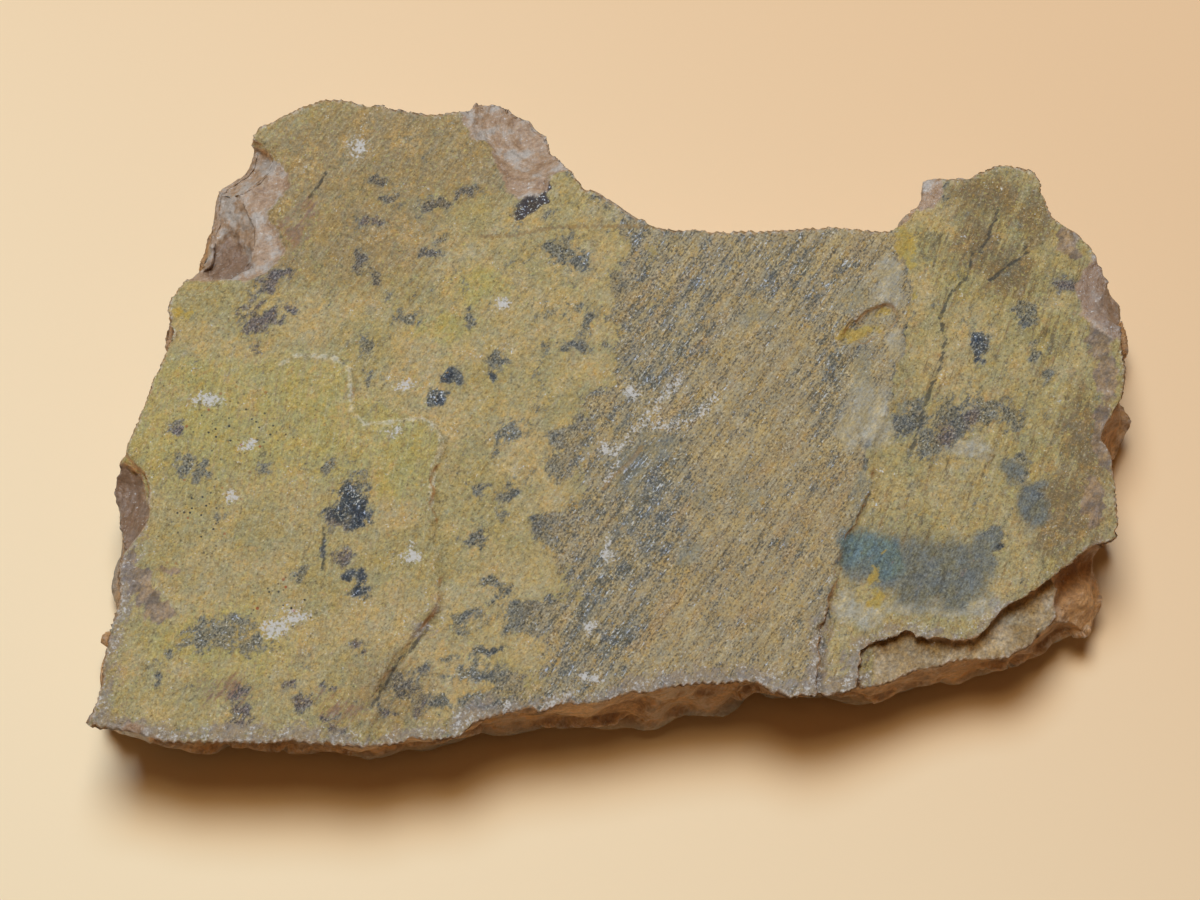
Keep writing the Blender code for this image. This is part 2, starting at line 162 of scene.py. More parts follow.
PURPLE = [(-41, 16, 1.3, 2.1), (-39.8, 17.3, 2.4, 0.5), (-42.2, 13.9, 1.3, 1.1),
    (-38.4, 13.2, 0.9, 0.9), (-29.5, 24, 1.4, 0.7), (-42.4, 10.9, 2, 1.4), (-40.7, 11.6, 1.3, 1.4),
    (-44, 12.7, 1.3, 0.7), (-42.6, 8.1, 0.9, 0.7), (-51.2, -2.6, 1, 0.8), (-32.2, -14.1, 1.3, 1.2),
    (-31.7, -17.9, 1, 1.1), (-42.9, -34.2, 1, 1.2), (-42.6, -36.1, 1.2, 1.3),
    (-41.8, -37.2, 1.2, 0.9), (-44.4, -38.1, 1.3, 0.5), (-36.9, -33.5, 1, 0.7),
    (-35.8, -35.2, 1.4, 0.8), (-29.6, -29, 1.1, 0.7), (-32.7, -33.7, 1.3, 0.6),
    (-32.2, -37.9, 1.3, 1.3), (-22.8, -36, 1, 0.7), (-26.3, -36, 0.9, 0.8), (52.6, 16.1, 1.2, 0.8),
    (37.7, -2.7, 1, 1.5), (41, -1, 0.9, 1.3)]
BLUE = [(-30.6, -11.1, 1.8, 2.1), (-31.8, -12.9, 1.2, 1.3), (-29.8, -13, 1.2, 1.2),
    (-19.5, 4.3, 0.9, 0.7), (-14.8, 4.5, 0.6, 0.6), (-21, 1.7, 1.1, 0.5), (-29.9, -13.8, 0.8, 0.8),
    (-31.3, -20.3, 0.9, 0.5), (-29.4, -20.5, 0.7, 0.7), (-29.5, -22.1, 0.8, 1.1),
    (-14.4, -29.1, 0.7, 0.5), (42.9, -15.5, 0.8, 1.1), (47.7, -10.3, 0.8, 1), (42.4, 8.8, 0.7, 0.7),
    (42, 7.2, 0.5, 0.8)]
TEAL = [(28, -16, 2.6, 2.8), (52.2, 1.2, 1.6, 1.8), (30.6, -17.8, 1.6, 2)]
FILM_DARK = [(20.6, 17.8, 4.6, 3.6), (24.8, 7.5, 2.4, 12), (4.6, -10.4, 3.2, 6),
    (2.2, -13.3, 1.8, 0.7), (-0.2, -19.7, 1.8, 0.9), (-0.6, -27.5, 1.8, 1.2),
    (22.1, 15.3, 1.7, 1.2), (27.5, 18.4, 1.4, 1), (10, 10.1, 1.3, 0.8), (8.4, 7.7, 1.8, 0.6),
    (25.8, 0.4, 0.9, 1.2), (20.8, 4.7, 1.3, 0.9), (3.3, 16.9, 0.9, 1.2), (3.1, 4.2, 1.1, 1.4),
    (3.8, -13.8, 1.8, 1.2), (8, -5.8, 1.6, 0.7), (17.9, -16.2, 1.8, 0.8), (21.3, -17.1, 1.3, 0.9),
    (19.7, -25.9, 0.9, 1.4), (9.1, 0.4, 2.4, 1.8)]
FILM_SMOOTH = [(1.1, -7.5, 1.6, 2.8), (16.6, 11.8, 2, 1.4), (28.6, 13.6, 2.4, 1.9),
    (28.6, 2.3, 1.1, 4.7), (4.4, -4.2, 2.4, 1.7), (27.5, -8.6, 1.8, 2.8), (9.1, -10.5, 1.8, 1.4),
    (8.2, -17.6, 2, 1.2), (14.6, -10.1, 2, 1.4), (24.8, -21.9, 1.1, 2.1)]
PALE = [(31.9, 16.5, 1.3, 3.1), (32.3, 8.5, 0.9, 1.9), (29.7, -2.5, 2.2, 2.1),
    (25.9, -23.5, 1.3, 1.9), (28.1, -24.7, 1.8, 1.4), (29.2, 0.1, 2.1, 3), (26.6, -2.2, 1.2, 2),
    (39.6, -23.8, 5.7, 1), (32.2, -23.8, 2.4, 0.8), (41, -4.5, 2.6, 1)]
OCHRE = [(33.8, 21.4, 1, 2), (34.6, 18.8, 0.7, 1.3), (34.8, 14.6, 0.3, 1.3), (28.7, 10.5, 2.6, 0.8),
    (27.2, 9.6, 1.6, 0.9), (31.2, 12.5, 0.9, 0.6), (-51.5, 12.3, 1.3, 0.9)]
OCHRE_LINE = [(29, -19.8, 0.4, 1.5), (29.5, -22.8, 0.6, 1.5), (30.3, -16.9, 0.6, 0.3)]
TAN = [(-1.8, 14.4, 1.6, 1.4), (-1.5, 9.9, 1.3, 1.2), (-2.6, 5, 1.8, 1.7), (-5.3, 5.9, 1.6, 1.4),
    (-6.6, 3.5, 1.3, 1.2), (-7.1, -10.4, 1.8, 1.7), (-12.2, -5.9, 2, 1.2), (-10.4, -11.4, 2.7, 0.9),
    (-10, -19.2, 3.3, 1.9), (-10.8, -21.1, 2.9, 1.4), (-18.8, -23.2, 2, 1.2),
    (-20.6, -27.5, 1.6, 1.2), (-10.6, -29.6, 2, 1.4), (-18.4, -33.4, 2, 0.9),
    (-11.7, -13.8, 1.3, 1.4), (-1.5, 20, 1.8, 2.1), (-3.3, 24.5, 2, 1.2), (-7.1, 28.5, 1.3, 1.2),
    (32.7, -10.3, 2.6, 2), (37.7, -9.3, 2.8, 2.3), (41, -11.3, 3.3, 1.5), (45.7, -20.1, 2.1, 1.8),
    (48.1, -21.3, 1.4, 1.5), (-50, -25, 1.1, 1.2), (-49.3, -31.6, 1.6, 1.4), (-44, -30.9, 1.8, 0.9),
    (-45.7, -22.9, 2.4, 1.4), (-47.5, -18.1, 2.7, 1.9)]
OLIVE = [(-45, -28, 7, 4), (-16.6, 16, 3.3, 1.9), (-21, 10.6, 3.5, 1.9), (-24.8, -5.2, 2.7, 2.8),
    (-26.3, -8.7, 2, 2.4), (-48.8, 3.8, 2.7, 2.8), (-37.8, 3.1, 1.3, 3.5), (-34.7, 0.5, 2.7, 3.8),
    (-48.8, -1.6, 2.4, 2.1), (-41.3, 0.5, 2.7, 2.1), (-33.8, -3.8, 3.1, 1.9),
    (45.7, 21.6, 2.6, 3.3), (39.6, 16.1, 1.7, 2.8), (36.7, 21.6, 2.1, 2.3), (48.1, 16.1, 2.6, 2.8),
    (50.4, 9.5, 2.6, 2.8), (50.4, -4.5, 3.1, 1.8)]
BROWN = [(-26, 36.5, 13, 4), (-36, 32, 7, 6), (-39.4, 26, 3.5, 5), (-39.8, 19.5, 3.4, 3),
    (-27, 31, 10, 5), (-18, 31.5, 6, 4), (-30, 22, 8, 6), (49.2, 24.6, 2, 3),
    (42.2, 21.4, 2.4, 3.2), (44, 27.1, 4, 3), (46.4, 18.1, 3.4, 3), (54, -4, 2.5, 6),
    (51.5, -12.5, 4, 5), (-26, -34, 4, 4)]
PINK = [(-56.2, -18.6, 0.8, 1.4), (-54.9, -20.7, 1.7, 1.6), (-53.5, -22.9, 1.4, 1.5),
    (-52.4, -24.7, 1.9, 1.3), (-51.4, -19.8, 1.3, 0.4), (-57.7, -27.8, 0.5, 0.6),
    (-55.3, -38.7, 1.6, 0.8), (56.3, 9.5, 1.6, 3), (57, 4.5, 1.5, 3), (56.2, -3, 1.3, 4),
    (54.6, -11, 1.3, 3), (53.4, 21.5, 1.3, 2)]
CREAM = [(-31, 33.9, 1.5, 1.3), (-13.5, 13.4, 1, 0.9), (-25, 3.1, 1.3, 0.7), (-1.5, -4.5, 1, 0.8),
    (-26.1, -2.6, 1.3, 0.7), (1.8, 2.4, 1.1, 0.9), (-36.7, -25.2, 1.6, 1.2),
    (-38.9, -26.6, 1.6, 1.2), (-23.8, -17.8, 1, 1.2), (-3.1, -26.3, 1, 0.9),
    (-1.3, -17.1, 0.6, 1.3), (-3.5, -32.2, 1.3, 0.6), (-42.9, -4.5, 1.3, 0.9),
    (-44.4, -10.8, 1.1, 0.7), (-48, 1.2, 1.8, 0.9)]
HAZE = [(34.3, -19.3, 4.2, 4.4), (38.5, -19.8, 4, 4), (41.6, -17.7, 2, 2.6), (43, -15.6, 0.9, 1.3),
    (30.6, -18.2, 2.6, 3.6), (27.6, -17.6, 2.6, 3.4), (47.6, -11.2, 1.8, 3), (45.2, -7.2, 1.2, 1.4)]
DARK_CRYSTAL = [(-11.7, 25, 0.9, 0.7), (-10.6, 26, 1.2, 1), (-9.4, 27.3, 1.1, 1.1),
    (-8.5, 28.6, 0.8, 0.8)]
SPECKED = [(-44, -2.3, 6.9, 3.7), (-48.2, -13.4, 3.5, 4.9), (-38, -24, 4.5, 3.2)]
RAISED_RING = (-34.3, -22.4, 2.9, 2.1)

# Paint values that are spots alone, and how hard their edges are: finely and broadly wavering
CRISP_SPOTS = {
    "film_dark": (FILM_DARK, 0.1), "film_plain": (FILM_SMOOTH, 0.1), "purple": (PURPLE, 0.5),
    "blue": (BLUE, 0.4), "pale": (PALE, 0.1), "ochre": (OCHRE + OCHRE_LINE, 0.2),
    "tan": (TAN, 0.1), "pink": (PINK, 0.6), "crystal": (DARK_CRYSTAL, 0.3),
    "cream": (CREAM, 0.0), "specked": (SPECKED, 0.2)}
LOOSE_SPOTS = {
    "haze": (HAZE, 0.1), "teal": (TEAL, 0.0), "brown": (BROWN, 0.0), "rusty": (RUSTY, 0.0)}

# Thin flakes on the face: (x, y, length, width, lift)
FLAKES = [(3.5, -24.6, 2, 0.9, 0.3), (5.6, -23.6, 2.6, 0.5, 0.25), (5.1, -27.7, 1.8, 0.7, 0.22),
    (13, -27.9, 2.4, 0.8, 0.24), (2.3, -30.1, 1.6, 0.6, 0.18), (9.3, -10.9, 1.8, 0.6, 0.16),
    (-1.1, -18.2, 1.8, 0.6, 0.14), (16, -24.2, 2.2, 0.6, 0.2), (18.7, -3.6, 1.6, 0.6, 0.16),
    (1.2, -5.6, 3.4, 0.9, 0.34), (11.5, 8.6, 2, 0.5, 0.14), (-9, 9.4, 2, 0.8, 0.12)]


# ---- small helpers

GRADIENTS = 4096
HASH_PRIMES = (73856093, 19349663, 83492791)


def smooth(value, low, high):
    """0 below low, 1 above high, and a smooth step between."""
    share = np.clip((value - low) / (high - low), 0.0, 1.0)
    return share * share * (3.0 - 2.0 * share)


def turned(points, degrees):
    """x and y of the points measured along and across a line at this angle."""
    x, y = points[:, :2].T
    cosine, sine = math.cos(math.radians(degrees)), math.sin(math.radians(degrees))
    return x * cosine + y * sine, -x * sine + y * cosine


def lattice_noise(coords, seed):
    """Smooth noise between about -1 and 1 over (n, 3) coordinates, one feature a unit."""
    table = np.random.RandomState(seed).normal(size=(GRADIENTS, 3))
    table /= np.linalg.norm(table, axis=1)[:, None]
    base = np.floor(coords).astype(np.int64)
    part = coords - base
    fade = part * part * part * (part * (part * 6.0 - 15.0) + 10.0)
    total = np.zeros(len(coords))
    for corner in range(8):
        step = np.array([corner & 1, corner >> 1 & 1, corner >> 2 & 1])
        cell = base + step
        gradient = table[np.bitwise_xor.reduce(cell * HASH_PRIMES, axis=1) % GRADIENTS]
        weight = np.prod(np.where(step, fade, 1.0 - fade), axis=1)
        total += weight * np.einsum("ij,ij->i", gradient, part - step)
    return total * 1.6


def layered_noise(coords, seed, layers=3, gain=0.5):
    total = np.zeros(len(coords))
    for layer in range(layers):
        total += gain ** layer * lattice_noise(coords * 2.0 ** layer, seed + layer)
    return total


def wavering(points, seed, reach=0.75, size=1.7):
    """The points pushed about sideways a little, which makes what is drawn on them irregular."""
    flat = points * (1.0, 1.0, 0.0) / size
    aside = np.column_stack([layered_noise(flat, seed, 3, 0.6),
                             layered_noise(flat, seed + 10, 3, 0.6), np.zeros(len(points))])
    return points + aside * reach


def in_spots(points, spots, hard=0.3):
    """How far each point is inside any of the spots, from 0 to 1."""
    inside = np.zeros(len(points))
    for x, y, half_width, half_depth in spots:
        reach = np.hypot((points[:, 0] - x) / half_width, (points[:, 1] - y) / half_depth)
        inside = np.maximum(inside, 1.0 - smooth(reach, hard, 2.0 - hard))
    return inside


def line_x(line, y):
    """The x of a line at each y. Its points run from low y to high y."""
    xs, ys = zip(*line)
    return np.interp(y, ys, xs)


def line_distance(points, line):
    nearest = np.full(len(points), 1e9)
    for (x0, y0), (x1, y1) in zip(line, line[1:]):
        run = np.array([x1 - x0, y1 - y0])
        start = points[:, :2] - (x0, y0)
        share = np.clip(start @ run / (run @ run), 0.0, 1.0)
        nearest = np.minimum(nearest, np.linalg.norm(start - share[:, None] * run, axis=1))
    return nearest


def lines_weight(points, lines, width):
    nearest = np.min([line_distance(points, line) for line in lines], axis=0)
    return 1.0 - smooth(nearest, 0.3 * width, width)


def depth_inside(points, outline):
    """How far inside an outline each point is; outside it, minus the distance to it."""
    closed = outline + outline[:1]
    inside = np.zeros(len(points), dtype=bool)
    x, y = points[:, :2].T
    for (x0, y0), (x1, y1) in zip(closed, closed[1:]):
        crosses = (y0 > y) != (y1 > y)
        if y0 != y1:
            inside ^= crosses & (x < x0 + (y - y0) * (x1 - x0) / (y1 - y0))
    return np.where(inside, 1.0, -1.0) * line_distance(points, closed)


# ---- mesh

def fetched(items, key, width, kind=float):
    """A row of numbers for each of a mesh's items."""
    flat = np.empty(len(items) * width, dtype=kind)
    items.foreach_get(key, flat)
    return flat.reshape(-1, width)


def get_points(mesh):
    return fetched(mesh.vertices, "co", 3) / MM


def set_points(mesh, points):
    mesh.vertices.foreach_set("co", (points * MM).ravel())
    mesh.update()


def get_normals(mesh):
    return fetched(mesh.vertex_normals, "vector", 3)


def get_edges(mesh):
    return fetched(mesh.edges, "vertices", 2, np.int64).T


def apply_modifiers(stone):
    shown = stone.evaluated_get(bpy.context.evaluated_depsgraph_get())
    finished = bpy.data.meshes.new_from_object(shown)
    stone.modifiers.clear()
    stone.data = finished


def fine_copy():
    """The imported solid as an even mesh, whose cells are long along the slickenlines."""
    stone = bpy.data.objects.new("chalcedony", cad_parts[NODE].data.copy())
    bpy.context.scene.collection.objects.link(stone)
    squeeze = Matrix.Diagonal((1.0 / STRETCH, 1.0, 1.0, 1.0))
    squeeze = squeeze @ Matrix.Rotation(-math.radians(STRIA_ANGLE), 4, "Z")
    stone.data.transform(squeeze)
    remesh = stone.modifiers.new("even cells", "REMESH")
    remesh.mode = "VOXEL"
    remesh.voxel_size = CELL * MM
    apply_modifiers(stone)
    stone.data.transform(squeeze.inverted())
    stone.data.update()
    return stone


def thin_out_of_sight(stone):
    """Fewer faces on the walls and the underside, which carry no slickenlines."""
    points, normals = get_points(stone.data), get_normals(stone.data)
    spare = np.flatnonzero((normals[:, 2] < 0.5) | (points[:, 2] < FACE_LOWEST))
    group = stone.vertex_groups.new(name="spare")
    group.add(spare.tolist(), 1.0, "REPLACE")
    thin = stone.modifiers.new("thinned", "DECIMATE")
    thin.ratio = 1.0 - THINNED_OUT_OF_SIGHT * len(spare) / len(points)
    thin.vertex_group = group.name
    apply_modifiers(stone)
    stone.vertex_groups.clear()


def relax(mesh, points, weight, rounds):
    """Even out facets by moving each point towards the middle of its neighbours."""
    one, two = get_edges(mesh)
    count = np.bincount(np.concatenate([one, two]), minlength=len(points))
    for turn in range(rounds):
        middle = np.empty_like(points)
        for axis in range(3):
            middle[:, axis] = (np.bincount(one, points[two, axis], len(points))
                               + np.bincount(two, points[one, axis], len(points))) / count
        points = points + (middle - points) * (0.5 * weight)[:, None]
    return points


def nearest_seeds(points, seeds, count):
    """For each point, the places in seeds of its nearest ones and the distances to them."""
    tree = kdtree.KDTree(len(seeds))
    for index, seed in enumerate(seeds):
        tree.insert(seed, index)
    tree.balance()
    found = [tree.find_n(point, count) for point in points]
    which = np.array([[hit[1] for hit in hits] for hits in found])
    far = np.array([[hit[2] for hit in hits] for hits in found])
    return which, far


def scalloped(points, where, spacing, depth, seed):
    """How deep shell-shaped scoops bite at each point of a broken wall."""
    bite = np.zeros(len(points))
    chosen = np.flatnonzero(where > 0.05)
    chance = np.random.RandomState(seed)
    area = len(chosen) * AREA_OF_A_POINT
    seeds = points[chance.choice(chosen, int(area / spacing ** 2), replace=False)]
    sizes = spacing * chance.uniform(0.7, 1.5, len(seeds))
    which, far = nearest_seeds(points[chosen], seeds, 5)
    envelope = (depth * (1.0 - (far / sizes[which]) ** 2)).max(axis=1)
    bite[chosen] = np.maximum(envelope, -depth)
    return bite * where


def bite_rim(points, normals, count, radius, bite, seed):
    """Small chips knocked from the rim, each a sphere that pushes the stone's points in."""
    rim = (normals[:, 2] > 0.25) & (normals[:, 2] < 0.85) & (points[:, 2] > FACE_LOWEST)
    rim &= fresh_weight(points, 1.0) < 0.01
    chance = np.random.RandomState(seed)
    places = chance.choice(np.flatnonzero(rim), count, replace=False)
    radii = chance.uniform(*radius, count)
    depths = chance.uniform(*bite, count)
    moved = points.copy()
    for place, size, depth in zip(places, radii, depths):
        centre = points[place] + normals[place] * (size - depth)
        away = moved - centre
        gap = np.linalg.norm(away, axis=1)
        inside = gap < size
        moved[inside] = centre + away[inside] / gap[inside, None] * size
    return moved


# ---- relief

def face_weights(points, normals):
    """Shares of the upper face, the broken walls and the growth below at each point."""
    height, facing_up = points[:, 2], normals[:, 2]
    face = smooth(facing_up, 0.45, 0.75) * smooth(height, FACE_LOWEST - 0.4, FACE_LOWEST)
    under = np.maximum(smooth(-facing_up, 0.15, 0.5), 1.0 - smooth(height, 2.5, 4.5))
    under *= 1.0 - smooth(height, 6.0, 8.0)
    wall = np.clip(1.0 - face - under, 0.0, 1.0)
    return face, wall, under


def fresh_weight(points, edge=0.25):
    """1 on the broken areas of the upper side, which carry no patina."""
    depth = np.max([depth_inside(points, outline) for outline in FRESH_BREAKS], axis=0)
    return smooth(depth, -edge, edge)


def zones(points):
    """Which part of the face a point is on: the raised lamina, the film or the right block."""
    x, y = points[:, :2].T
    lamina = smooth(line_x(LAMINA_EDGE, y) - x, -0.2, 0.2) * (1.0 - smooth(y, 5.0, 9.0))
    film = smooth(x - line_x(FILM_EDGE, y), -0.3, 0.3) * smooth(line_x(SEAM, y) - x, -0.2, 0.4)
    right = smooth(x - line_x(SEAM, y), -0.4, 0.2)
    return lamina, film, right


def slickenlines(points, angle, width, length, seed):
    along, across = turned(points, angle)
    coords = np.column_stack([along / length, across / width, np.zeros(len(points))])
    return layered_noise(coords, seed, 2, 0.6)


def flake_lift(points):
    """Thin flakes that rise towards their lower right ends and stop there at a small cliff."""
    lift = np.zeros(len(points))
    wobble = 0.25 * lattice_noise(points * (1.3, 1.3, 0.0), 71)
    for x, y, length, width, height in FLAKES:
        along, across = turned(points - (x, y, 0.0), STRIA_ANGLE)
        along = along / length + wobble
        across = across / width + wobble
        inside = (np.abs(along) < 1.0) & (np.abs(across) < 1.0)
        rise = smooth(1.0 - across, 0.0, 2.0) * smooth(1.0 - along, 0.0, 1.6)
        lift = np.maximum(lift, np.where(inside, height * rise, 0.0))
    return lift


def face_relief(points):
    """How far the upper face stands above or below its level."""
    lamina, film, right = zones(points)
    plain = np.clip(1.0 - lamina - film - right, 0.0, 1.0)
    sheet = slickenlines(points, STRIA_ANGLE, 0.62, 11.0, 3)
    broad = slickenlines(points, STRIA_ANGLE, 2.1, 26.0, 9)
    relief = (0.07 * film + 0.05 * plain) * sheet + (0.15 * film + 0.09 * plain) * broad
    relief += lamina * 0.04 * slickenlines(points, LAMINA_STRIA_ANGLE, 0.7, 7.0, 15)
    relief += right * 0.06 * slickenlines(points, RIGHT_STRIA_ANGLE, 0.8, 9.0, 21)
    relief += right * 0.12 * slickenlines(points, RIGHT_STRIA_ANGLE, 3.0, 12.0, 23)
    level = points * (1.0, 1.0, 0.0)
    relief += 0.16 * layered_noise(level / 7.0, 31, 3)
    relief += 0.05 * layered_noise(level / 0.9, 37, 2) * (1.0 - 0.4 * film)
    relief += flake_lift(points)
    relief += 0.12 * zones(wavering(points, 96, 0.6, 2.5))[0]
    for lines, height, width in GROOVES:
        relief += height * lines_weight(points, lines, width)
    bare = np.maximum(in_spots(points, BLUE[:3], 0.5), in_spots(points, DARK_CRYSTAL, 0.5))
    relief -= bare * (0.22 + 0.16 * lattice_noise(level / 0.7, 43))
    x, y, half_width, half_depth = RAISED_RING
    reach = np.hypot((points[:, 0] - x) / half_width, (points[:, 1] - y) / half_depth)
    reach = reach + 0.14 * lattice_noise(level / 1.5, 47)
    relief += 0.26 * smooth(1.0 - np.abs(reach - 0.85) / 0.26, 0.0, 1.0)
    return relief


def break_relief(points):
    """How far the broken areas of the upper side lie below the face, with their ripples."""
    shifted = wavering(points, 81, 0.35, 1.6)
    top = depth_inside(shifted, TOP_CHIP)
    left = depth_inside(shifted, LEFT_CHIP)
    step = depth_inside(shifted, LEFT_STEP)
    west = depth_inside(shifted, WEST_SCOOP)
    sunk = 0.3 * smooth(top, 0.0, 0.6) + 0.03 * np.clip(top, 0.0, 4.0)
    sunk += 0.45 * smooth(left, 0.0, 0.5) + 0.14 * np.clip(left, 0.0, 4.0)
    sunk += 0.9 * smooth(step, 0.0, 0.35)
    sunk += 0.3 * smooth(west, 0.0, 0.5)
    height = np.zeros(len(points))
    wobble = 0.5 * lattice_noise(points / 3.0, 53)
    for centre, reach in RIPPLES:
        far = np.linalg.norm(points - centre, axis=1) + wobble
        fade = 1.0 - smooth(far, 0.7 * reach, reach)
        height += fade * np.sin(far * 2.0 * math.pi / (1.5 * RIPPLE_LENGTH))
    scales = np.abs(lattice_noise(points / 2.4, 57)) + 0.5 * np.abs(lattice_noise(points, 58))
    return RIPPLE_DEPTH * height - 0.45 * scales - sunk


def overhung(points):
    """The points with the front rim drawn out over the wall, and the outline's bulges."""
    near = smooth(-points[:, 1], 29.0, 37.0) * smooth(points[:, 2], 6.0, 13.0)
    xs, reach = zip(*FRONT_LIP)
    moved = points - np.outer(near * np.interp(points[:, 0], xs, reach), (0.0, 1.0, 0.0))
    for x, y, reach, push_x, push_y in BULGES:
        far = np.hypot(points[:, 0] - x, points[:, 1] - y)
        moved += np.outer(1.0 - smooth(far, 0.0, reach), (push_x, push_y, 0.0))
    return moved


def carve(stone):
    mesh = stone.data
    points, normals = overhung(get_points(mesh)), get_normals(mesh)
    face, wall, under = face_weights(points, normals)
    resting = points[:, 2] < 0.05
    loose = np.where(resting, 0.0, np.clip(under + 0.45 * wall, 0.0, 1.0))
    points = relax(mesh, points, loose * (1.0 - face), RELAX_ROUNDS)
    set_points(mesh, points)
    normals = get_normals(mesh)
    off_floor = smooth(points[:, 2], 0.02, 0.9)
    fresh = fresh_weight(points) * smooth(points[:, 2], 9.0, 11.0)
    aside = normals * (1.0, 1.0, 0.25)
    plain_wall = wall * (1.0 - 0.8 * fresh)
    for scoops in WALL_SCOOPS:
        points = points - aside * scalloped(points, plain_wall, *scoops)[:, None]
    points = points - aside * scalloped(points, wall, *FINE_SCOOPS)[:, None]
    points = points + normals * scalloped(points, under * off_floor, *GROWTHS)[:, None]
    points = points + normals * (wall * 0.05 * layered_noise(points / 0.8, 61, 2))[:, None]
    patinated = face * (1.0 - fresh)
    raised = patinated * face_relief(points) + fresh * break_relief(points)
    points = points + normals * (1.0, 1.0, 0.9) * raised[:, None]
    set_points(mesh, points)
    points = bite_rim(points, get_normals(mesh), *RIM_BITES)
    points[:, 2] = np.where(resting, 0.0, np.clip(points[:, 2], 0.0, FACE_HIGHEST))
    set_points(mesh, points)


# ---- paint

def edge_wear(mesh, points, normals):
    """Above 0 on outward edges and below 0 in hollows, from how the normals open."""
    one, two = get_edges(mesh)
    run = points[two] - points[one]
    length = np.maximum(np.linalg.norm(run, axis=1), 1e-6)
    opening = np.einsum("ij,ij->i", normals[two] - normals[one], run) / length
    total = np.bincount(one, opening, len(points)) + np.bincount(two, opening, len(points))
    return total / np.bincount(np.concatenate([one, two]), minlength=len(points))


def rim_nearness(points, face, reach):
    """1 at the face's rim, falling to 0 at this reach from it."""
    beyond = points[face < 0.3]
    beyond = beyond[beyond[:, 2] > FACE_LOWEST - 2.0]
    chosen = np.flatnonzero(face >= 0.3)
    far = nearest_seeds(points[chosen], beyond[::3], 1)[1]
    near = np.ones(len(points))
    near[chosen] = 1.0 - smooth(far[:, 0], 0.0, reach)
    return near


def bareness(points):
    """The noise level above which patina covers the stone, in the noise's own spread."""
    _, film, right = zones(points)
    x, y = points[:, :2].T
    past_edge = x - line_x(FILM_EDGE, y)
    broken = 0.7 * smooth(past_edge, -20.0, -6.0) + 3.3 * smooth(past_edge, -9.0, 9.0)
    level = -1.7 + broken * (1.0 - right) + 0.35 * right
    level += 0.4 * smooth(y, 4.0, 14.0) * smooth(x, -36.0, -26.0) * (1.0 - film) * (1.0 - right)
    level += 3.1 * in_spots(points, SLATE + PURPLE, -0.2)
    level += 4.0 * in_spots(points, BLUE, 0.0)
    return level - 3.0 * in_spots(points, TAN, -0.1) * (1.0 - right)


def paint_values(mesh):
    """Each kind of finish and how much of it lies at each point, mostly from 0 to 1."""
    points, normals = get_points(mesh), get_normals(mesh)
    x, y, z = points.T
    face, wall, under = face_weights(points, normals)
    shifted, rugged = wavering(points, 91), wavering(points, 97, 1.2, 3.0)
    lamina, film, right = zones(wavering(points, 95, 0.7, 3.0))
    past_edge = x - line_x(FILM_EDGE, y)
    film = np.maximum(film, smooth(past_edge, -7.0, 0.0)) * (1.0 - right)
    wear = edge_wear(mesh, points, normals)
    terrace = smooth(13.6 - z, 0.0, 0.5) * smooth(x, 28.0, 30.0)
    rim = rim_nearness(points, face, RIM_REACH) * (1.0 - 0.6 * terrace)
    front = 1.0 - smooth(y, -32.0, -16.0)
    left = (1.0 - smooth(x, -56.0, -48.0)) * (1.0 - smooth(y, -20.0, -8.0))
    low = z + 1.5 * lattice_noise(points / 3.0, 83)
    yellowed = 0.6 * lamina * smooth(y, -18.0, -4.0)
    deep = [share * smooth(depth_inside(shifted, outline), -0.2, 0.4)
            for outline, share in DEEP_BREAKS]
    crisp = {name: in_spots(shifted, spots, hard) for name, (spots, hard) in CRISP_SPOTS.items()}
    loose = {name: in_spots(rugged, spots, hard) for name, (spots, hard) in LOOSE_SPOTS.items()}
    return crisp | loose | {
        "face": face,
        "under": under,
        # Painted orange light bounced up from the floor, low on the walls
        "glow": wall * (1.0 - smooth(z, 1.5, 8.0)),
        "fresh": fresh_weight(wavering(points, 81, 0.35, 1.6), 1.0) * smooth(low, 3.5, 9.5),
        # Sunk breaks darkened: partly their own brown, partly painted shade
        "deep": np.max(deep, axis=0),
        "lamina": lamina,
        "film": film,
        "film_west": film * (1.0 - smooth(past_edge, 3.0, 15.0)),
        "right": right,
        "bareness": bareness(shifted),
        "olive": np.maximum(in_spots(rugged, OLIVE, 0.0), yellowed),
        "terrace": terrace,
        # Dark lines, and painted shadow along the lamina's foot
        "dark_line": lines_weight(wavering(points, 99, 0.25, 1.2), SHADE_LINES, 0.42),
        "crack": lines_weight(points, [CRACK, GOUGE], 0.5),
        "pale_line": 0.8 * lines_weight(shifted, PALE_VEINS, 1.1),
        # The lamina's raised lip, painted pale: a pale rim and a painted highlight along its edge
        "lip": lines_weight(points, [LAMINA_LIP], 0.6),
        "rim": rim * (0.40 + 0.60 * np.maximum(front, left)),
        "wear": smooth(wear, 0.08, 0.5),
        "cavity": smooth(-wear, 0.05, 0.4),
    }


def store_paint(mesh):
    for name, values in paint_values(mesh).items():
        layer = mesh.attributes.new(name, "FLOAT", "POINT")
        layer.data.foreach_set("value", values.astype(np.float32))


# ---- material

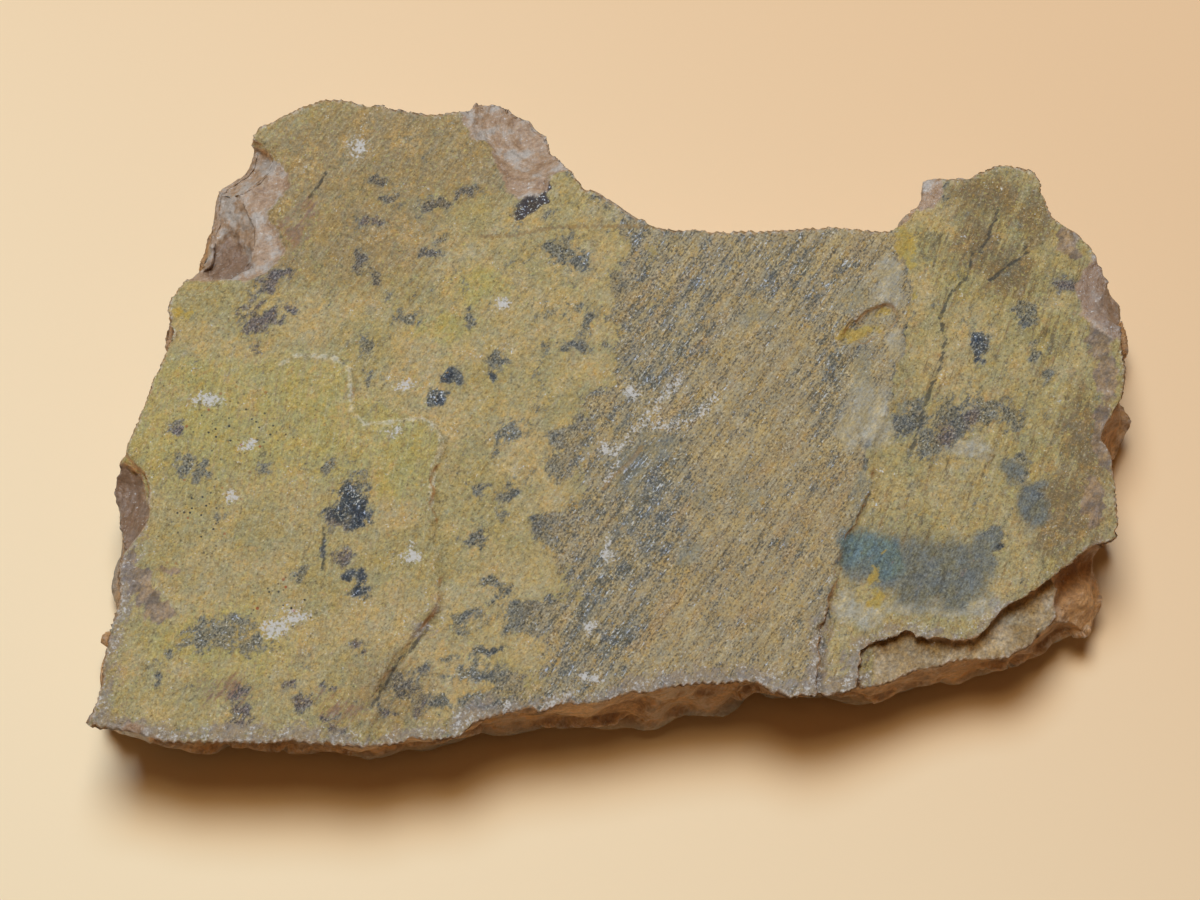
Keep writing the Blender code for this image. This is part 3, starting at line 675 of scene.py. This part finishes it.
# Colours of the stone, as linear red, green and blue
MUSTARD = (0.37, 0.3, 0.13)
OLIVE_PATINA = (0.4, 0.335, 0.11)
TAN_PATINA = (0.445, 0.35, 0.175)
THIN_PATINA = (0.27, 0.23, 0.135)
BROWN_PATINA = (0.27, 0.18, 0.08)
UMBER_PATINA = (0.3, 0.215, 0.105)
RIGHT_OLIVE = (0.215, 0.18, 0.085)
RUST_PATINA = (0.48, 0.31, 0.115)
RUSTY_STONE = (0.245, 0.145, 0.092)
UMBER_DARK = (0.165, 0.112, 0.055)
UMBER_ROCK = (0.15, 0.112, 0.068)
CREAM_FLECK = (0.56, 0.49, 0.34)
ORANGE_FLECK = (0.42, 0.27, 0.075)
YELLOW_FLECK = (0.52, 0.42, 0.11)
SHADE_FLECK = (0.15, 0.12, 0.06)
SLATE_ROCK = (0.12, 0.115, 0.088)
OLIVE_ROCK = (0.2, 0.178, 0.112)
SLATE_DARK = (0.03, 0.033, 0.032)
SLATE_LIGHT = (0.33, 0.31, 0.245)
BLUE_ROCK = (0.03, 0.046, 0.066)
HAZE_ROCK = (0.15, 0.155, 0.132)
TEAL_ROCK = (0.11, 0.165, 0.165)
PURPLE_ROCK = (0.155, 0.112, 0.09)
# Painted glints: bluish white specks that stand for the cool lamp reflected in tiny facets
PAINTED_BLUE_GLINT = (0.54, 0.565, 0.585)
CORE_DARK = (0.01, 0.014, 0.02)
FILM_TAN = (0.43, 0.345, 0.19)
FILM_BROWN = (0.32, 0.235, 0.112)
FILM_OLIVE = (0.295, 0.255, 0.155)
FILM_GREY = (0.185, 0.187, 0.155)
FILM_RUST = (0.385, 0.245, 0.105)
COOL_TINT = (0.915, 1.01, 1.23)
WARM_TINT = (1.095, 0.988, 0.71)
RIM_GREY = (0.265, 0.215, 0.178)
PEPPER_DARK = (0.05, 0.05, 0.044)
PALE_QUARTZ = (0.365, 0.325, 0.235)
OCHRE_STAIN = (0.43, 0.3, 0.06)
PINK_STONE = (0.35, 0.222, 0.13)
MILKY_STONE = (0.54, 0.455, 0.37)
SILVER_STONE = (0.4, 0.355, 0.31)
DEEP_STONE_AND_SHADE = (0.19, 0.112, 0.068)
BARE_PINK = (0.37, 0.26, 0.175)
WAXY_STONE = (0.44, 0.33, 0.195)
CRYSTAL_DARK = (0.06, 0.048, 0.046)
# White crystals, and painted glints where the glitter noise lays it on
WHITE_CRYSTAL_AND_GLINT = (0.6, 0.58, 0.55)
BLACK_SPECK = (0.02, 0.025, 0.03)
RUST_SPECK = (0.33, 0.09, 0.025)
WALL_BROWN = (0.32, 0.17, 0.072)
WALL_HONEY = (0.69, 0.39, 0.16)
WALL_MILKY = (0.54, 0.39, 0.26)
WALL_DARK = (0.13, 0.075, 0.042)
# Painted orange light bounced up from the floor onto the foot of the walls
PAINTED_FLOOR_BOUNCE = (0.85, 0.4, 0.1)
BUD_WAX = (0.4, 0.3, 0.19)
BUD_GREY = (0.3, 0.28, 0.24)
BUD_CREVICE = (0.2, 0.105, 0.04)

# Noises that the colours share: feature size along, across and up, angle, detail, roughness, twist
NOISES = {
    "cloud": (6.0, 0.0, 4.0, 0.55),
    "swell": (3.0, 0.0, 2.0, 0.55),
    "sand": (0.42, 0.0, 3.0, 0.6, 0.3),
    "grit": (0.55, 0.0, 4.0, 0.75),
    "glitter": (0.32, 0.0, 2.0, 0.7),
    "pepper": ((0.34, 0.24, 0.30), STRIA_ANGLE, 3.0, 0.75),
    "ragged": ((1.5, 1.0, 1.0), STRIA_ANGLE, 6.0, 0.80, 0.5),
    "blush": ((1.9, 1.2, 1.3), STRIA_ANGLE, 3.0, 0.75, 0.4),
    "mottle": ((2.4, 1.3, 1.3), STRIA_ANGLE, 5.0, 0.65, 0.3),
    "lobes": ((4.5, 3.2, 3.0), STRIA_ANGLE, 4.0, 0.55, 0.6),
    "lines": ((14.0, 0.9, 1.0), STRIA_ANGLE, 4.0, 0.6),
    "bands": ((16.0, 2.2, 2.0), STRIA_ANGLE, 5.0, 0.65),
    "threads": ((5.0, 0.34, 1.0), STRIA_ANGLE, 3.0, 0.6),
    "streak": ((2.0, 0.28, 1.0), STRIA_ANGLE, 5.0, 0.75),
    "lamina_streak": ((4.0, 0.32, 1.0), LAMINA_STRIA_ANGLE, 3.0, 0.6),
    "right_streak": ((5.0, 0.50, 1.0), RIGHT_STRIA_ANGLE, 5.0, 0.65),
    "fibres": ((1.5, 0.4, 0.6), 20.0, 5.0, 0.75),
    "broad": ((5.5, 5.5, 2.6), 0.0, 5.0, 0.62, 0.9),
    "small": ((1.3, 1.3, 0.8), 0.0, 5.0, 0.70, 0.6)}
NOISE_SPREAD = 0.115


class Painter:
    """Builds a material's nodes from short calls, each giving the socket of its result."""

    def __init__(self, tree):
        self.tree = tree
        self.kept = {}
        self.places = self.node("TexCoord").outputs["Object"]

    def node(self, kind, *inputs, **settings):
        """A new node with these settings, whose first sockets take these inputs."""
        made = self.tree.nodes.new("ShaderNode" + kind)
        for name, value in settings.items():
            setattr(made, name, value)
        for socket, value in zip(made.inputs, inputs):
            self.put(socket, value)
        return made

    def put(self, socket, value):
        if isinstance(value, bpy.types.NodeSocket):
            self.tree.links.new(value, socket)
        elif isinstance(value, tuple) and socket.type == "RGBA":
            socket.default_value = (*value, 1.0)
        else:
            socket.default_value = value

    def keep(self, **named):
        self.kept.update(named)

    def get(self, name):
        """What is kept under a name, or else the stone's own paint value of that name."""
        if name not in self.kept:
            self.kept[name] = self.node("Attribute", attribute_name=name).outputs["Fac"]
        return self.kept[name]

    def mapped(self, angle, size):
        """Coordinates in units of size = (along, across, up) millimetres, turned to an angle."""
        turn = self.node("VectorRotate", self.places, rotation_type="Z_AXIS")
        self.put(turn.inputs["Angle"], -math.radians(angle))
        scale = tuple(1.0 / (MM * length) for length in size)
        return self.node("VectorMath", turn.outputs[0], scale, operation="MULTIPLY").outputs[0]

    def noise(self, size, angle, detail, roughness, twist=0.0):
        """Fractal noise, as a number of its own spreads above or below its middle."""
        size = size if isinstance(size, tuple) else (size,) * 3
        made = self.node("TexNoise", self.mapped(angle, size))
        self.put(made.inputs["Scale"], 1.0)
        self.put(made.inputs["Detail"], detail)
        self.put(made.inputs["Roughness"], roughness)
        self.put(made.inputs["Distortion"], twist)
        return self.product(self.sum(made.outputs[0], -0.5), 1.0 / NOISE_SPREAD)

    def dots(self, size, radius):
        """Round specks of a radius, as a share of the cell they lie in."""
        made = self.node("TexVoronoi", self.mapped(0.0, (size,) * 3))
        self.put(made.inputs["Scale"], 1.0)
        return self.step(made.outputs["Distance"], radius, 0.6 * radius)

    def ripples(self, centre, reach):
        """Round waves about a centre, fading out at a reach from it."""
        centre = tuple(value * MM for value in centre)
        away = self.node("VectorMath", self.places, centre, operation="DISTANCE")
        far = self.tally(self.product(away.outputs["Value"], 1.0 / MM), swell=0.12)
        wave = self.chain("SINE", [self.product(far, 2.0 * math.pi / RIPPLE_LENGTH), 0.0])
        return self.product(wave, self.step(far, reach, 0.6 * reach))

    def tally(self, *values, **weights):
        """The sum of some values, and of what each name stands for times its weight."""
        parts = [self.get(name) if weight == 1 else self.product(self.get(name), weight)
                 for name, weight in weights.items()]
        return self.sum(*values, *parts)

    def sum(self, *values):
        return self.chain("ADD", values)

    def product(self, *values):
        return self.chain("MULTIPLY", values)

    def chain(self, operation, values):
        total = values[0]
        for value in values[1:]:
            total = self.node("Math", total, value, operation=operation).outputs[0]
        return total

    def step(self, value, low, high):
        made = self.node("MapRange", value, low, high, interpolation_type="SMOOTHSTEP")
        return made.outputs["Result"]

    def mix(self, share, low, high):
        """A colour between two."""
        made = self.node("Mix", share, data_type="RGBA")
        self.put(made.inputs[6], low)
        self.put(made.inputs[7], high)
        return made.outputs[2]

    def blend(self, share, low, high):
        """A number between two."""
        made = self.node("Mix", share)
        self.put(made.inputs[2], low)
        self.put(made.inputs[3], high)
        return made.outputs[0]

    def coat(self, colour, target, low, high, strength=1.0, **weights):
        """The target colour laid over another where a tally passes from low to high."""
        share = self.product(self.step(self.tally(**weights), low, high), strength)
        return self.mix(share, colour, target)

    def tinted(self, colour, warmth):
        """A colour made warmer or cooler."""
        tint = self.mix(self.step(warmth, -1.8, 1.8), COOL_TINT, WARM_TINT)
        return self.node("VectorMath", colour, tint, operation="MULTIPLY").outputs[0]

    def scaled(self, colour, share):
        """A colour made lighter or darker."""
        made = self.node("VectorMath", colour, operation="SCALE")
        self.put(made.inputs["Scale"], share)
        return made.outputs[0]


def rock_colour(make):
    """The bare chalcedony that shows where the patina is gone: grains of grey, blue or purple, with
    painted bluish glints.
    """
    earthy = make.step(make.tally(swell=1, olive=2.0), -1.4, 1.2)
    colour = make.mix(earthy, SLATE_ROCK, OLIVE_ROCK)
    colour = make.coat(colour, UMBER_ROCK, 0.0, 0.5, 0.85, brown=1)
    colour = make.mix(make.get("purple"), colour, PURPLE_ROCK)
    colour = make.mix(make.get("blue"), colour, BLUE_ROCK)
    colour = make.coat(colour, SLATE_LIGHT, 0.2, 1.4, 0.75, pepper=1)
    colour = make.coat(colour, SLATE_DARK, 0.1, -0.9, 0.85, pepper=1)
    colour = make.coat(colour, ORANGE_FLECK, 0.9, 1.8, 0.4, sand=1)
    colour = make.coat(colour, CORE_DARK, 0.2, -0.8, make.tally(blue=0.85), grit=1, glitter=0.5)
    # Painted bluish glints on the blue cores and scattered over the bare stone
    colour = make.coat(colour, PAINTED_BLUE_GLINT, 0.9, 1.8, make.tally(blue=0.8), grit=1, glitter=0.5)
    return make.coat(colour, PAINTED_BLUE_GLINT, 1.3, 2.2, 0.95, glitter=1, cloud=0.5, blue=0.4, brown=-0.8)


def film_colour(make):
    """The thin striated film of the middle of the face: bands of tan, rust, olive and grey, with
    painted bluish glints along its streaks.
    """
    tone = make.tally(swell=0.40, lines=0.30, threads=0.45, ragged=0.40)
    colour = make.mix(make.step(tone, -1.2, 1.4), FILM_BROWN, FILM_TAN)
    colour = make.coat(colour, FILM_RUST, 0.1, 1.6, 0.65, bands=0.8, mottle=0.5)
    make.keep(calm=make.tally(film_plain=1.1, film_west=0.35, bands=-0.35, ragged=0.15))
    colour = make.coat(colour, FILM_OLIVE, 0.1, 1.1, 0.8, calm=1)
    make.keep(grey=make.tally(film_dark=0.8, film_west=0.6, lines=-0.35, mottle=-0.35,
                              ragged=-0.35))
    colour = make.coat(colour, FILM_GREY, 0.2, 1.6, 0.85, grey=1)
    rough = make.sum(1.0, make.product(make.step(make.get("calm"), 0.4, 1.2), -0.6))
    colour = make.coat(colour, PEPPER_DARK, 0.0, -1.7, make.product(rough, 0.8),
                       pepper=1, grey=-0.7, threads=0.3)
    colour = make.coat(colour, ORANGE_FLECK, 0.6, 1.6, make.product(rough, 0.55), sand=1)
    colour = make.coat(colour, CREAM_FLECK, 0.6, 1.8, make.product(rough, 0.6),
                       pepper=1, mottle=0.5)
    # Painted bluish glints along the streaks
    return make.coat(colour, PAINTED_BLUE_GLINT, 1.2, 2.0, 0.95, streak=1, grey=0.5, glitter=0.6)


def patina_colour(make):
    """The thick patina: mustard, olive, tan and brown, with flecks, streaks, specks and painted
    bluish glints.
    """
    right, lamina = make.get("right"), make.get("lamina")
    colour = make.mix(make.step(make.get("cloud"), -1.0, 1.2), MUSTARD, TAN_PATINA)
    run = make.blend(lamina, make.get("threads"), make.get("lamina_streak"))
    make.keep(run=make.blend(right, run, make.get("right_streak")))
    colour = make.coat(colour, OLIVE_PATINA, 0.15, 0.85, make.blend(right, 0.9, 0.35),
                       olive=1, run=0.16, grit=0.10)
    colour = make.coat(colour, RIGHT_OLIVE, 0.3, 1.2, make.product(right, 0.8),
                       olive=0.8, run=-0.35)
    colour = make.mix(make.tally(tan=0.7), colour, TAN_PATINA)
    colour = make.coat(colour, make.mix(right, UMBER_PATINA, UMBER_DARK), 0.0, 0.9, 0.85,
                       brown=1, ragged=0.30, run=-0.12, mottle=make.product(right, 0.25))
    colour = make.coat(colour, CREAM_FLECK, 0.4, 2.2, 0.35, run=1)
    colour = make.coat(colour, BROWN_PATINA, -0.2, -1.8, make.blend(right, 0.35, 0.9), run=1)
    colour = make.coat(colour, SHADE_FLECK, -0.7, -1.7, make.product(right, 0.8),
                       run=0.7, mottle=0.5, ragged=0.5, olive=-0.5)
    colour = make.coat(colour, RUST_PATINA, 0.3, 1.6, 0.55, ragged=1, cloud=0.5)
    colour = make.coat(colour, SHADE_FLECK, -0.8, -2.0, 0.55, ragged=1, cloud=0.4, grit=0.3)
    colour = make.coat(colour, BROWN_PATINA, -0.4, -2.2, make.blend(right, 0.5, 0.8), mottle=1)
    colour = make.coat(colour, CREAM_FLECK, 0.6, 2.4, 0.5, mottle=1)
    colour = make.coat(colour, SHADE_FLECK, 0.9, 0.0, 0.35, gap=1)
    colour = make.scaled(colour, make.tally(1.0, ragged=0.09))
    colour = make.coat(colour, CREAM_FLECK, 0.7, 2.0, 0.65, pepper=1)
    colour = make.coat(colour, SHADE_FLECK, -0.7, -1.8, make.blend(right, 0.75, 0.95), pepper=1)
    colour = make.coat(colour, ORANGE_FLECK, 0.8, 2.0, 0.6, sand=1)
    colour = make.coat(colour, YELLOW_FLECK, -0.6, -1.8, 0.6, sand=1)
    # Painted bluish glints scattered over the patina
    colour = make.coat(colour, PAINTED_BLUE_GLINT, 1.8, 2.8, 0.9, glitter=1, swell=0.6, grit=0.4)
    specks = make.product(make.dots(0.85, 0.20), make.get("specked"))
    colour = make.mix(specks, colour, BLACK_SPECK)
    rust = make.product(make.dots(1.9, 0.13), make.tally(0.15, specked=1))
    return make.mix(rust, colour, RUST_SPECK)


def fresh_colour(make):
    """Unpatinated breaks: pink to milky, with pale ripple crests and brown hollows, and painted
    shade darkening the sunk breaks.
    """
    make.keep(flesh=make.tally(ragged=0.5, waves=0.12, swell=0.5, fibres=0.45))
    colour = make.mix(make.step(make.get("flesh"), -0.8, 2.2), PINK_STONE, MILKY_STONE)
    colour = make.coat(colour, SILVER_STONE, 0.2, 1.4, 0.8, swell=1, ragged=0.6, rim=0.8)
    colour = make.coat(colour, DEEP_STONE_AND_SHADE, -0.4, -1.8, 0.8, flesh=1)
    # Painted shade in the sunk breaks, partly their own brown
    colour = make.coat(colour, DEEP_STONE_AND_SHADE, 0.0, 1.0, 0.8, deep=1)
    colour = make.scaled(colour, make.tally(1.0, grit=0.14, pepper=0.10))
    colour = make.coat(colour, MUSTARD, 1.5, 2.0, 0.7, mottle=1, ragged=0.5)
    return make.coat(colour, WHITE_CRYSTAL_AND_GLINT, 1.2, 2.4, 0.9, glitter=1, fibres=0.6)


def wall_colour(make):
    """Waxy breaks on the walls: brown and honey, with milky patches and dark stains, painted
    glints, and painted orange light bounced up from the floor near their foot.
    """
    tone = make.tally(broad=0.6, small=0.5)
    colour = make.mix(make.step(tone, -1.3, 1.3), WALL_BROWN, WALL_HONEY)
    colour = make.coat(colour, WALL_MILKY, -0.2, 1.2, 0.85, cloud=0.7, mottle=0.5, small=0.3)
    colour = make.coat(colour, WALL_DARK, -0.7, -2.0, 0.7, swell=0.7, ragged=0.5)
    colour = make.scaled(colour, make.tally(1.0, grit=0.14))
    colour = make.mix(make.tally(cavity=0.4), colour, BUD_CREVICE)
    # Painted orange floor bounce low on the walls
    colour = make.coat(colour, PAINTED_FLOOR_BOUNCE, 0.4, 1.1, 0.6, glow=1, small=0.2)
    # Painted glints on the walls
    return make.coat(colour, WHITE_CRYSTAL_AND_GLINT, 1.6, 2.6, 0.8, glitter=1, mottle=0.5)


def under_colour(make):
    """The growths below: waxy, greyer on their crowns and rusty in their crevices."""
    colour = make.mix(make.step(make.get("cloud"), -0.8, 1.0), BUD_WAX, BUD_GREY)
    colour = make.coat(colour, CREAM_FLECK, 0.2, 1.8, 0.3, grit=1)
    return make.mix(make.tally(cavity=0.8), colour, BUD_CREVICE)


def face_colour(make, cover):
    """Everything on the upper face, from the bare stone up to the stains on the patina."""
    film = make.get("film")
    base = make.mix(film, rock_colour(make), film_colour(make))
    thin = make.product(make.step(film, 0.6, 0.2), 0.7)
    base = make.coat(base, THIN_PATINA, -0.6, -0.2, thin, gap=1)
    colour = make.mix(cover, base, patina_colour(make))
    waxy = make.mix(make.step(make.get("cloud"), -1.0, 1.0), WAXY_STONE, BROWN_PATINA)
    waxy = make.scaled(waxy, make.tally(1.0, grit=0.12))
    colour = make.coat(colour, waxy, 0.3, 0.7, terrace=1, ragged=-0.2)
    quartz = make.mix(make.step(make.get("mottle"), -0.5, 2.0), PALE_QUARTZ, CREAM_FLECK)
    colour = make.coat(colour, quartz, 0.1, 0.8, 0.85, pale=1, cloud=0.12, grit=0.08)
    tint = make.mix(make.step(make.get("teal"), 0.1, 0.8), HAZE_ROCK, TEAL_ROCK)
    tint = make.scaled(tint, make.tally(1.0, right_streak=0.15, pepper=0.22))
    colour = make.coat(colour, tint, 0.25, 0.75, 0.92,
                       haze=1, ragged=0.05, grit=0.06, right_streak=0.05)
    bare = make.mix(make.step(make.get("mottle"), -1.0, 1.2), PURPLE_ROCK, BARE_PINK)
    colour = make.coat(colour, bare, 0.35, 0.75, 0.85, pink=1, ragged=0.22)
    colour = make.coat(colour, RUSTY_STONE, 0.45, 1.1, 0.85,
                       rusty=1, ragged=0.35, threads=0.25, pepper=0.2)
    colour = make.coat(colour, OCHRE_STAIN, 0.35, 0.8, 0.8, ochre=1, ragged=0.16, grit=0.1)
    # Dark lines, with painted shadow at the foot of the lamina's ledge
    colour = make.coat(colour, SLATE_DARK, 0.50, 1.05, 0.8, dark_line=1, ragged=0.26, grit=0.16)
    colour = make.coat(colour, BROWN_PATINA, 0.45, 0.9, 0.7, crack=1)
    # The dark crystal, flecked with painted bluish glints
    crystal = make.mix(make.step(make.get("glitter"), 0.6, 1.4), CRYSTAL_DARK, PAINTED_BLUE_GLINT)
    colour = make.coat(colour, crystal, 0.35, 0.65, crystal=1, ragged=0.1)
    # The lamina's lip: a pale rim and a painted highlight along its edge
    colour = make.coat(colour, CREAM_FLECK, 0.5, 1.2, 0.7, lip=1, ragged=0.25, grit=0.2)
    colour = make.coat(colour, RIM_GREY, 0.55, 0.95, 0.75, rim=1, ragged=0.30, cloud=0.12)
    colour = make.tinted(colour, make.tally(blush=0.7, sand=0.45, swell=0.3))
    grain = make.tally(grit=make.blend(film, 0.17, 0.10), pepper=0.12)
    colour = make.scaled(colour, make.sum(1.0, grain))
    crust = make.tally(0.55, mottle=0.30)
    return make.coat(colour, WHITE_CRYSTAL_AND_GLINT, 0.65, 1.25, 0.9,
                     cream=1.35, pale_line=1, rim=crust, grit=0.24, glitter=0.32)


def stone_material():
    material = bpy.data.materials.new("patinated_chalcedony")
    material.use_nodes = True
    shader = material.node_tree.nodes["Principled BSDF"]
    make = Painter(material.node_tree)
    make.keep(**{name: make.noise(*shape) for name, shape in NOISES.items()})
    make.keep(waves=make.sum(*[make.ripples(*ripple) for ripple in RIPPLES]))
    make.keep(gap=make.tally(ragged=1.05, lobes=0.55, bareness=-1.0))
    cover = make.step(make.get("gap"), -0.05, 0.15)
    broken = make.step(make.tally(fresh=1, ragged=0.14), 0.35, 0.65)
    face, film, grit = make.get("face"), make.get("film"), make.get("grit")
    sides = make.mix(make.get("under"), wall_colour(make), under_colour(make))
    colour = make.mix(face, sides, face_colour(make, cover))
    colour = make.mix(broken, colour, fresh_colour(make))
    worn = make.product(make.get("wear"), make.step(grit, -0.4, 0.8))
    colour = make.mix(make.product(worn, 0.5), colour, WHITE_CRYSTAL_AND_GLINT)
    make.put(shader.inputs["Base Color"], colour)
    rough = make.blend(cover, make.blend(film, 0.42, 0.52), 0.78)
    rough = make.blend(broken, make.blend(face, 0.45, rough), 0.32)
    make.put(shader.inputs["Roughness"], make.tally(rough, grit=0.04))
    shader.inputs["Specular IOR Level"].default_value = 0.45
    height = make.tally(threads=make.blend(film, 0.006, 0.022), pepper=0.016, grit=0.022)
    smooth_break = make.step(make.get("fresh"), 0.35, 0.65)
    height = make.blend(smooth_break, height, make.tally(waves=0.022, grit=0.020))
    bump = make.node("Bump")
    bump.inputs["Strength"].default_value = 1.0
    bump.inputs["Distance"].default_value = MM
    make.put(bump.inputs["Height"], height)
    make.put(shader.inputs["Normal"], bump.outputs[0])
    return material


def dressed_stone():
    stone = fine_copy()
    thin_out_of_sight(stone)
    carve(stone)
    store_paint(stone.data)
    stone.data.materials.clear()
    stone.data.materials.append(stone_material())
    stone.data.shade_smooth()
    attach(stone, "root")
    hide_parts(NODE)
    return stone


# ---- stage

CAMERA_RISE = 70.0
CAMERA_FAR = 386.0
CAMERA_LENS = 100.0
CAMERA_AIM = (-2.2, -4.8, 15.0)
# The floor's colour runs from pale at the front left to warmer and darker at the back right:
# painted glare and fall-off of the light
FLOOR_WARM = (0.780, 0.530, 0.305)
FLOOR_PALE = (0.915, 0.750, 0.500)
FLOOR_SPAN = 130.0
FLOOR_WIDTH = 3000.0
KEYS = [((-50.0, 165.0, 805.0), 380.0, 3.5, (1.000, 0.750, 0.430)),
        ((-60.0, 290.0, 780.0), 420.0, 4.1, (0.660, 1.020, 1.430))]
AIR_COLOUR = (0.120, 0.060, 0.026, 1.0)


def floor_material():
    material = bpy.data.materials.new("pale_paper")
    material.use_nodes = True
    shader = material.node_tree.nodes["Principled BSDF"]
    make = Painter(material.node_tree)
    split = make.node("SeparateXYZ", make.places)
    across = make.sum(make.product(split.outputs["X"], 0.8), split.outputs["Y"])
    share = make.step(make.product(across, 1.0 / MM), -FLOOR_SPAN, FLOOR_SPAN)
    # Painted glare and fall-off of the light across the floor
    make.put(shader.inputs["Base Color"], make.mix(share, FLOOR_PALE, FLOOR_WARM))
    shader.inputs["Roughness"].default_value = 0.7
    shader.inputs["Specular IOR Level"].default_value = 0.2
    return material


def plain_floor():
    half = 0.5 * FLOOR_WIDTH * MM
    mesh = bpy.data.meshes.new("floor")
    corners = [(-half, -half, 0.0), (half, -half, 0.0), (half, half, 0.0), (-half, half, 0.0)]
    mesh.from_pydata(corners, [], [(0, 1, 2, 3)])
    mesh.materials.append(floor_material())
    floor = bpy.data.objects.new("floor", mesh)
    bpy.context.scene.collection.objects.link(floor)


def key_lights():
    """A warm lamp overhead and a cooler one further back, which add up to white."""
    for number, (place, width, watts, colour) in enumerate(KEYS):
        lamp = bpy.data.lights.new("key_" + str(number), "AREA")
        lamp.shape = "DISK"
        lamp.size = width * MM
        lamp.energy = watts
        lamp.color = colour
        light = bpy.data.objects.new(lamp.name, lamp)
        light.location = Vector(place) * MM
        light.rotation_mode = "QUATERNION"
        light.rotation_quaternion = (-Vector(place)).to_track_quat("-Z", "Y")
        bpy.context.scene.collection.objects.link(light)


def studio():
    scene = bpy.context.scene
    scene.view_settings.view_transform = "Standard"
    world = bpy.data.worlds.new("studio_air")
    world.use_nodes = True
    air = world.node_tree.nodes["Background"]
    air.inputs["Color"].default_value = AIR_COLOUR
    air.inputs["Strength"].default_value = 1.0
    scene.world = world
    key_lights()


def camera():
    rise = math.radians(CAMERA_RISE)
    eye = bpy.data.objects.new("camera", bpy.data.cameras.new("camera"))
    eye.data.lens = CAMERA_LENS
    eye.data.clip_start = 0.01
    back = Vector((0.0, -math.cos(rise), math.sin(rise)))
    eye.location = (Vector(CAMERA_AIM) + back * CAMERA_FAR) * MM
    eye.rotation_euler = (math.radians(90.0) - rise, 0.0, 0.0)
    bpy.context.scene.collection.objects.link(eye)
    bpy.context.scene.camera = eye


plain_floor()
studio()
camera()
dressed_stone()
